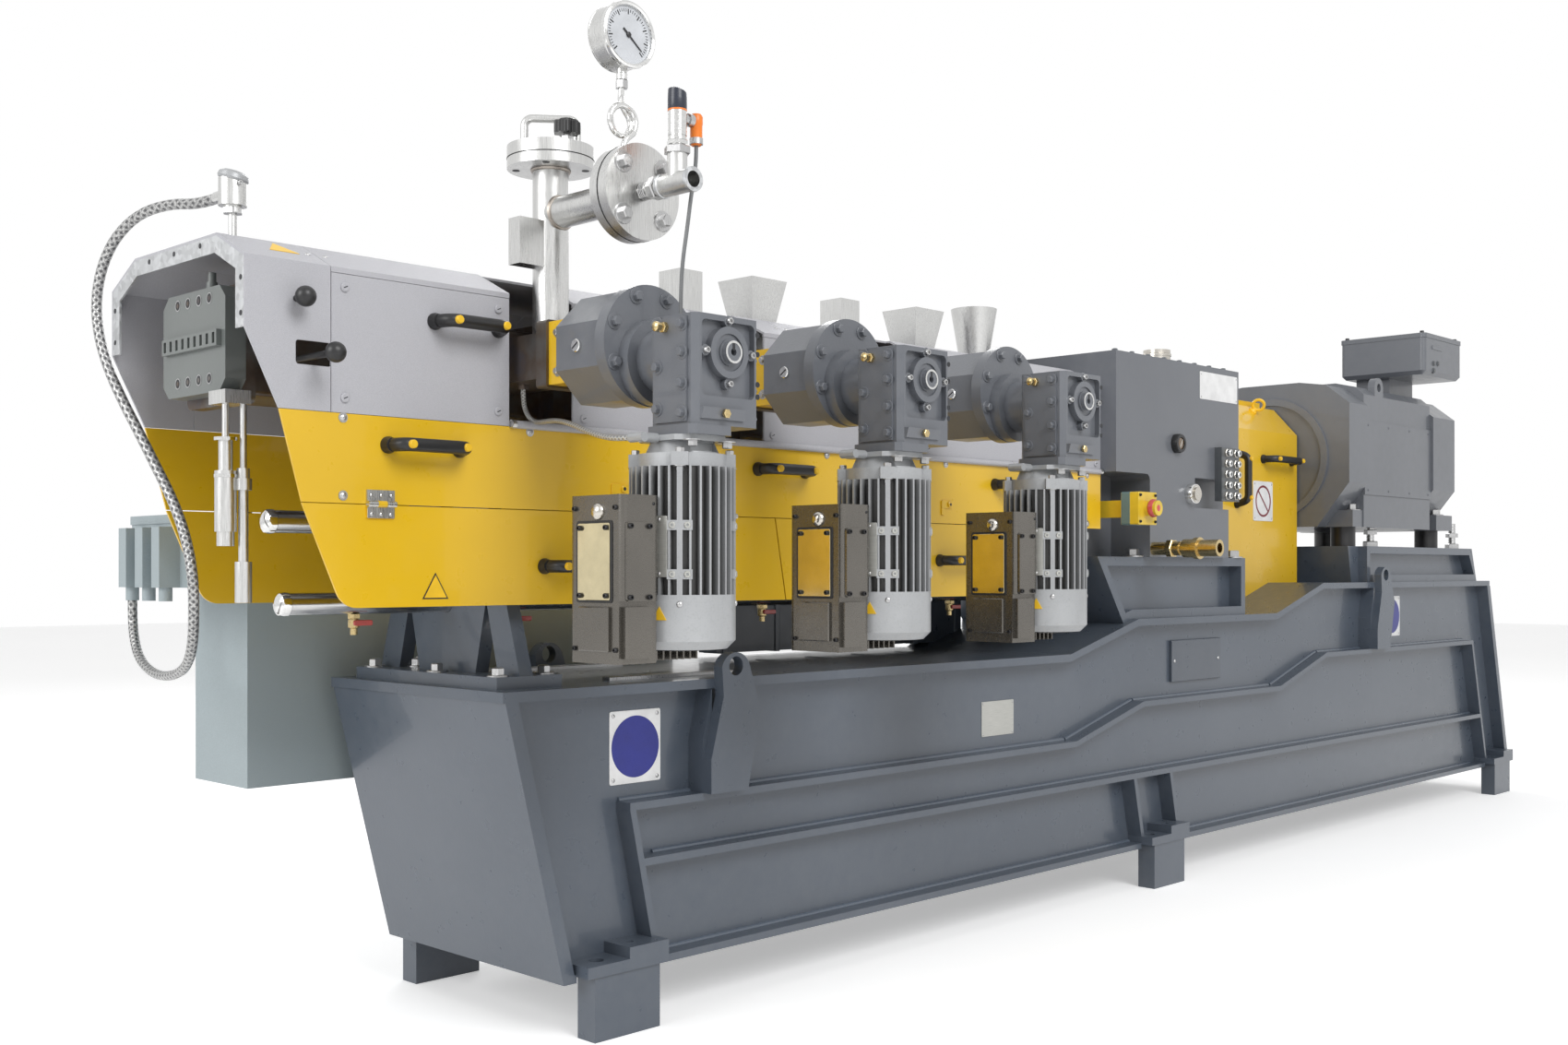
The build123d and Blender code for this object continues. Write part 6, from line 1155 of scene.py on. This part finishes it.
class EXTRUDER_OT_motor_details(bpy.types.Operator):
    """Screws, feet bolts and levelling jacks of the main motor"""

    bl_idname = "extruder.motor_details"
    bl_label = "Main motor details"

    def execute(self, context):
        large = context.scene.extruder_fasteners.hex_large * 1000
        motor = Piece("motor_bolts")
        low, high = (np.array(corner) * 1000 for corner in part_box("motor_terminal_box"))
        lid_screws = [(4060 + dx, -145 + dy, high[2]) for dx in (-132, 132) for dy in (-122, 122)]
        motor.each(socket_screw(13), "dark_screw", lid_screws)
        for side, out in ((-242, NEAR), (242, FAR)):
            places = [(x, side, z) for x in (3590, 3736, 3892, 4038) for z in (1012, 1208)]
            motor.each(dome(8), "machine_paint", places, out)
        near = low[1] - ORIGIN[1] * 1000 + 6
        motor.add(tile(84, 13, 3, 7, 2), "machine_paint", (4010, near, 1478), NEAR)
        glands = [(x, near, z) for x, z in ((3982, 1428), (4014, 1430), (3982, 1405))]
        motor.each(turned([(9, 0), (9, 5), (6.5, 7), (6.5, 9)], 24), "manifold_paint", glands, NEAR)
        feet = [(x, y, 950) for x in (3563, 4188) for y in (-205, 205)]
        motor.each(hex_bolt(large * 1.15), "screw_steel", feet)
        for x in (3700, 4343):
            for y in (-200, 200):
                motor.add(nut(38, 17, 2.5), "screw_steel", (x, y, 842))
                motor.add(tube(straight((x, y, 855), (x, y, 926), 2.5), 11, 16, 0.04, 3.5), "screw_steel")
                motor.add(nut(34, 14, 2), "screw_steel", (x, y, 880))
        motor.each(hex_bolt(17), "screw_steel", ring_of((4287, 0, SCREW_Z), 150, 8, REAR, 22.5), REAR)
        cap = turned([(118, 0), (118, 5), (108, 11), (30, 13)], 56)
        motor.add(cap, "machine_paint", (4287, 0, SCREW_Z), REAR)
        motor.make()
        return {"FINISHED"}


class EXTRUDER_OT_front_details(bpy.types.Operator):
    """Screws of the die head, pipe caps, valves and the bolts of the front saddle"""

    bl_idname = "extruder.front_details"
    bl_label = "Front end details"

    def execute(self, context):
        die = Piece("die_screws")
        for z in (1173, 1054):
            for y in (-52, -18, 18, 52):
                die.add(washer(8.5, 7, 0.6, 24), "screw_steel", (30, y, z), FRONT)
                die.add(disc(7, 0.4, 24), "recess", (30, y, z), FRONT)
                die.add(nut(6.5, 0.7, 0), "tool_steel", (30, y, z), FRONT)
        lid = turned([(21, 0), (22.5, 3), (21, 9), (14, 13), (4, 14.5)], 36)
        die.add(lid, "silver_cast", (30, -125, 1335), (0.16, -0.2, 0.97))
        die.add(socket_screw(7), "screw_steel", (30, -146, 1328), NEAR)
        die.add(nut(25, 9), "screw_steel", (30, -125, 1286))
        die.each(washer(16.5, 10, 5, 28), "polished", [(32, -99, z) for z in (905, 959)])
        die.make()

        pipes = Piece("pipe_caps")
        cap = turned([(18.6, -9), (19.4, -8), (19.4, 0), (17.5, 5), (12, 8.5), (5, 10.2), (1, 10.5)], 40)
        for z, front in ((846.0, 149.0), (716.0, 173.0)):
            pipes.add(cap, "polished", (front, 0, z), FRONT)
            pipes.add(cap, "polished", (2067.0, 0, z), REAR)
        stem = turned([(7, 0), (7, 9), (9.5, 9), (9.5, 22), (6, 24), (6, 34)], 20)
        stub = turned([(7, 0), (7, 10), (9.5, 10), (9.5, 20), (6, 24)], 20)
        for x in (300, 620, 930, 1240, 1550, 1860):
            pipes.add(join(stem, nut(19, 8)), "brass", (x, 0, 698.4), DOWN)
            pipes.add(tile(34, 9, 3, 4, 1), "red", (x + 10, -10, 684), NEAR)
            pipes.add(stub, "brass", (x + 60, -17.6, 846), NEAR)
        pipes.make()

        saddle = Piece("saddle_bolts")
        places = (
            (451, 185), (451, -11), (451, -185), (510, -142), (546, -181), (546, 185), (510, 142), (540, -8))
        saddle.each(hex_bolt(19), "screw_steel", [(x, y, 598.0) for x, y in places])
        # A dark tray along the far side of the deck, 0.8 times the base colour: partly real structure,
        # partly painted shade filling the dark gap there.
        saddle.add(tile(860, 58, 4, 104, 3), "dark_plate", (1715, 214, 590))
        ribs = [(x, 214, 588) for x in np.linspace(1310, 2120, 6)]
        saddle.each(tile(14, 64, 1, 110, 1), "base_paint", ribs)
        saddle.each(tile(298, 22, 2, 6, 1), "screw_steel", [(845, y, 578) for y in (-160, 160)])
        saddle.make()
        return {"FINISHED"}


class EXTRUDER_OT_stage(bpy.types.Operator):
    """Floor, white surroundings, soft lights and the camera of the photograph"""

    bl_idname = "extruder.stage"
    bl_label = "Stage"

    def execute(self, context):
        scene = context.scene
        stage = scene.extruder_stage
        half = stage.floor / 2
        mesh = bpy.data.meshes.new("floor")
        square = [(-half, -half, 0), (half, -half, 0), (half, half, 0), (-half, half, 0)]
        mesh.from_pydata(square, [], [(0, 1, 2, 3)])
        paint = Paint("floor")
        cloud = paint.noise(0.8, 3.0)
        shade = paint.mix(cloud.within(0.3, 0.7), (0.88, 0.88, 0.88), (0.91, 0.91, 0.91))
        mesh.materials.append(paint.finish(shade, 0.7))
        camera_ray, glossy_ray, glass_ray = (
            paint.node("LightPath", output=f"Is {kind} Ray")
            for kind in ("Camera", "Glossy", "Transmission"))
        seen = camera_ray.greatest(glossy_ray).greatest(glass_ray)
        paint.feed(paint.shader.inputs["Emission Color"], paint.mix(seen, (0, 0, 0), (1, 1, 1)))
        paint.shader.inputs["Emission Strength"].default_value = stage.glow
        floor = bpy.data.objects.new("floor", mesh)
        scene.collection.objects.link(floor)

        world = bpy.data.worlds.new("surroundings")
        scene.world = world
        world.use_nodes = True
        tree = world.node_tree
        background = tree.nodes["Background"]
        background.inputs["Color"].default_value = (1, 1, 1, 1)
        background.inputs["Strength"].default_value = stage.sky
        backdrop = tree.nodes.new("ShaderNodeBackground")
        backdrop.inputs["Color"].default_value = (1, 1, 1, 1)
        path = tree.nodes.new("ShaderNodeLightPath")
        choose = tree.nodes.new("ShaderNodeMixShader")
        seen = path.outputs["Is Camera Ray"]
        for other in ("Is Glossy Ray", "Is Transmission Ray"):
            either = tree.nodes.new("ShaderNodeMath")
            either.operation = "MAXIMUM"
            tree.links.new(seen, either.inputs[0])
            tree.links.new(path.outputs[other], either.inputs[1])
            seen = either.outputs[0]
        tree.links.new(seen, choose.inputs[0])
        tree.links.new(background.outputs[0], choose.inputs[1])
        tree.links.new(backdrop.outputs[0], choose.inputs[2])
        tree.links.new(choose.outputs[0], tree.nodes["World Output"].inputs["Surface"])

        lamps = (
            ("key_light", (-2.5, -6.5, 5.5), (0.2, 0, 0.8), 4.0, stage.key),
            ("end_light", (-7.0, 0.5, 3.2), (-1.8, 0, 0.9), 3.0, stage.key * 0.38),
            ("rear_light", (3.5, 5.0, 4.5), (0.5, 0, 1.0), 3.0, stage.key * 0.3),
        )
        for name, at, aim, side, power in lamps:
            data = bpy.data.lights.new(name, "AREA")
            data.shape = "SQUARE"
            data.size = side
            data.energy = power
            lamp = bpy.data.objects.new(name, data)
            scene.collection.objects.link(lamp)
            lamp.location = at
            direction = np.asarray(aim) - np.asarray(at)
            tilt = np.arccos(-unit(direction)[2])
            lamp.rotation_euler = (tilt, 0.0, np.arctan2(direction[1], direction[0]) - np.pi / 2)

        data = bpy.data.cameras.new("camera")
        data.sensor_width = 36.0
        data.lens = stage.lens
        data.shift_y = stage.rise
        camera = bpy.data.objects.new("camera", data)
        scene.collection.objects.link(camera)
        camera.location = np.array(CAMERA_AT) + ORIGIN
        camera.rotation_euler = (np.pi / 2, 0.0, -np.radians(stage.turn))
        scene.camera = camera
        scene.view_settings.view_transform = "Standard"
        return {"FINISHED"}


OPERATORS = (
    EXTRUDER_OT_stage, EXTRUDER_OT_finishes, EXTRUDER_OT_cords, EXTRUDER_OT_base_details,
    EXTRUDER_OT_vent_details, EXTRUDER_OT_feeder_details, EXTRUDER_OT_cover_details,
    EXTRUDER_OT_gear_details, EXTRUDER_OT_motor_details, EXTRUDER_OT_front_details)


class EXTRUDER_PT_panel(bpy.types.Panel):
    """Settings of the finishes, fasteners and stage, and a button for each step"""

    bl_idname = "EXTRUDER_PT_panel"
    bl_label = "Plastic extruder"
    bl_space_type = "VIEW_3D"
    bl_region_type = "UI"
    bl_category = "Extruder"

    def draw(self, context):
        for name in ("extruder_looks", "extruder_fasteners", "extruder_stage"):
            group = getattr(context.scene, name)
            for key in group.__annotations__:
                self.layout.prop(group, key)
        for operator in OPERATORS:
            self.layout.operator(operator.bl_idname)


GROUPS = {"extruder_looks": Looks, "extruder_fasteners": Fasteners, "extruder_stage": Stage}


def register():
    for kind in (*GROUPS.values(), *OPERATORS, EXTRUDER_PT_panel):
        bpy.utils.register_class(kind)
    for name, kind in GROUPS.items():
        setattr(bpy.types.Scene, name, PointerProperty(type=kind))


def unregister():
    for name in GROUPS:
        delattr(bpy.types.Scene, name)
    for kind in (EXTRUDER_PT_panel, *reversed(OPERATORS), *GROUPS.values()):
        bpy.utils.unregister_class(kind)


def main():
    """Runs every operator in order."""
    register()
    for operator in OPERATORS:
        group, name = operator.bl_idname.split(".")
        getattr(getattr(bpy.ops, group), name)()


if __name__ == "__main__":
    main()
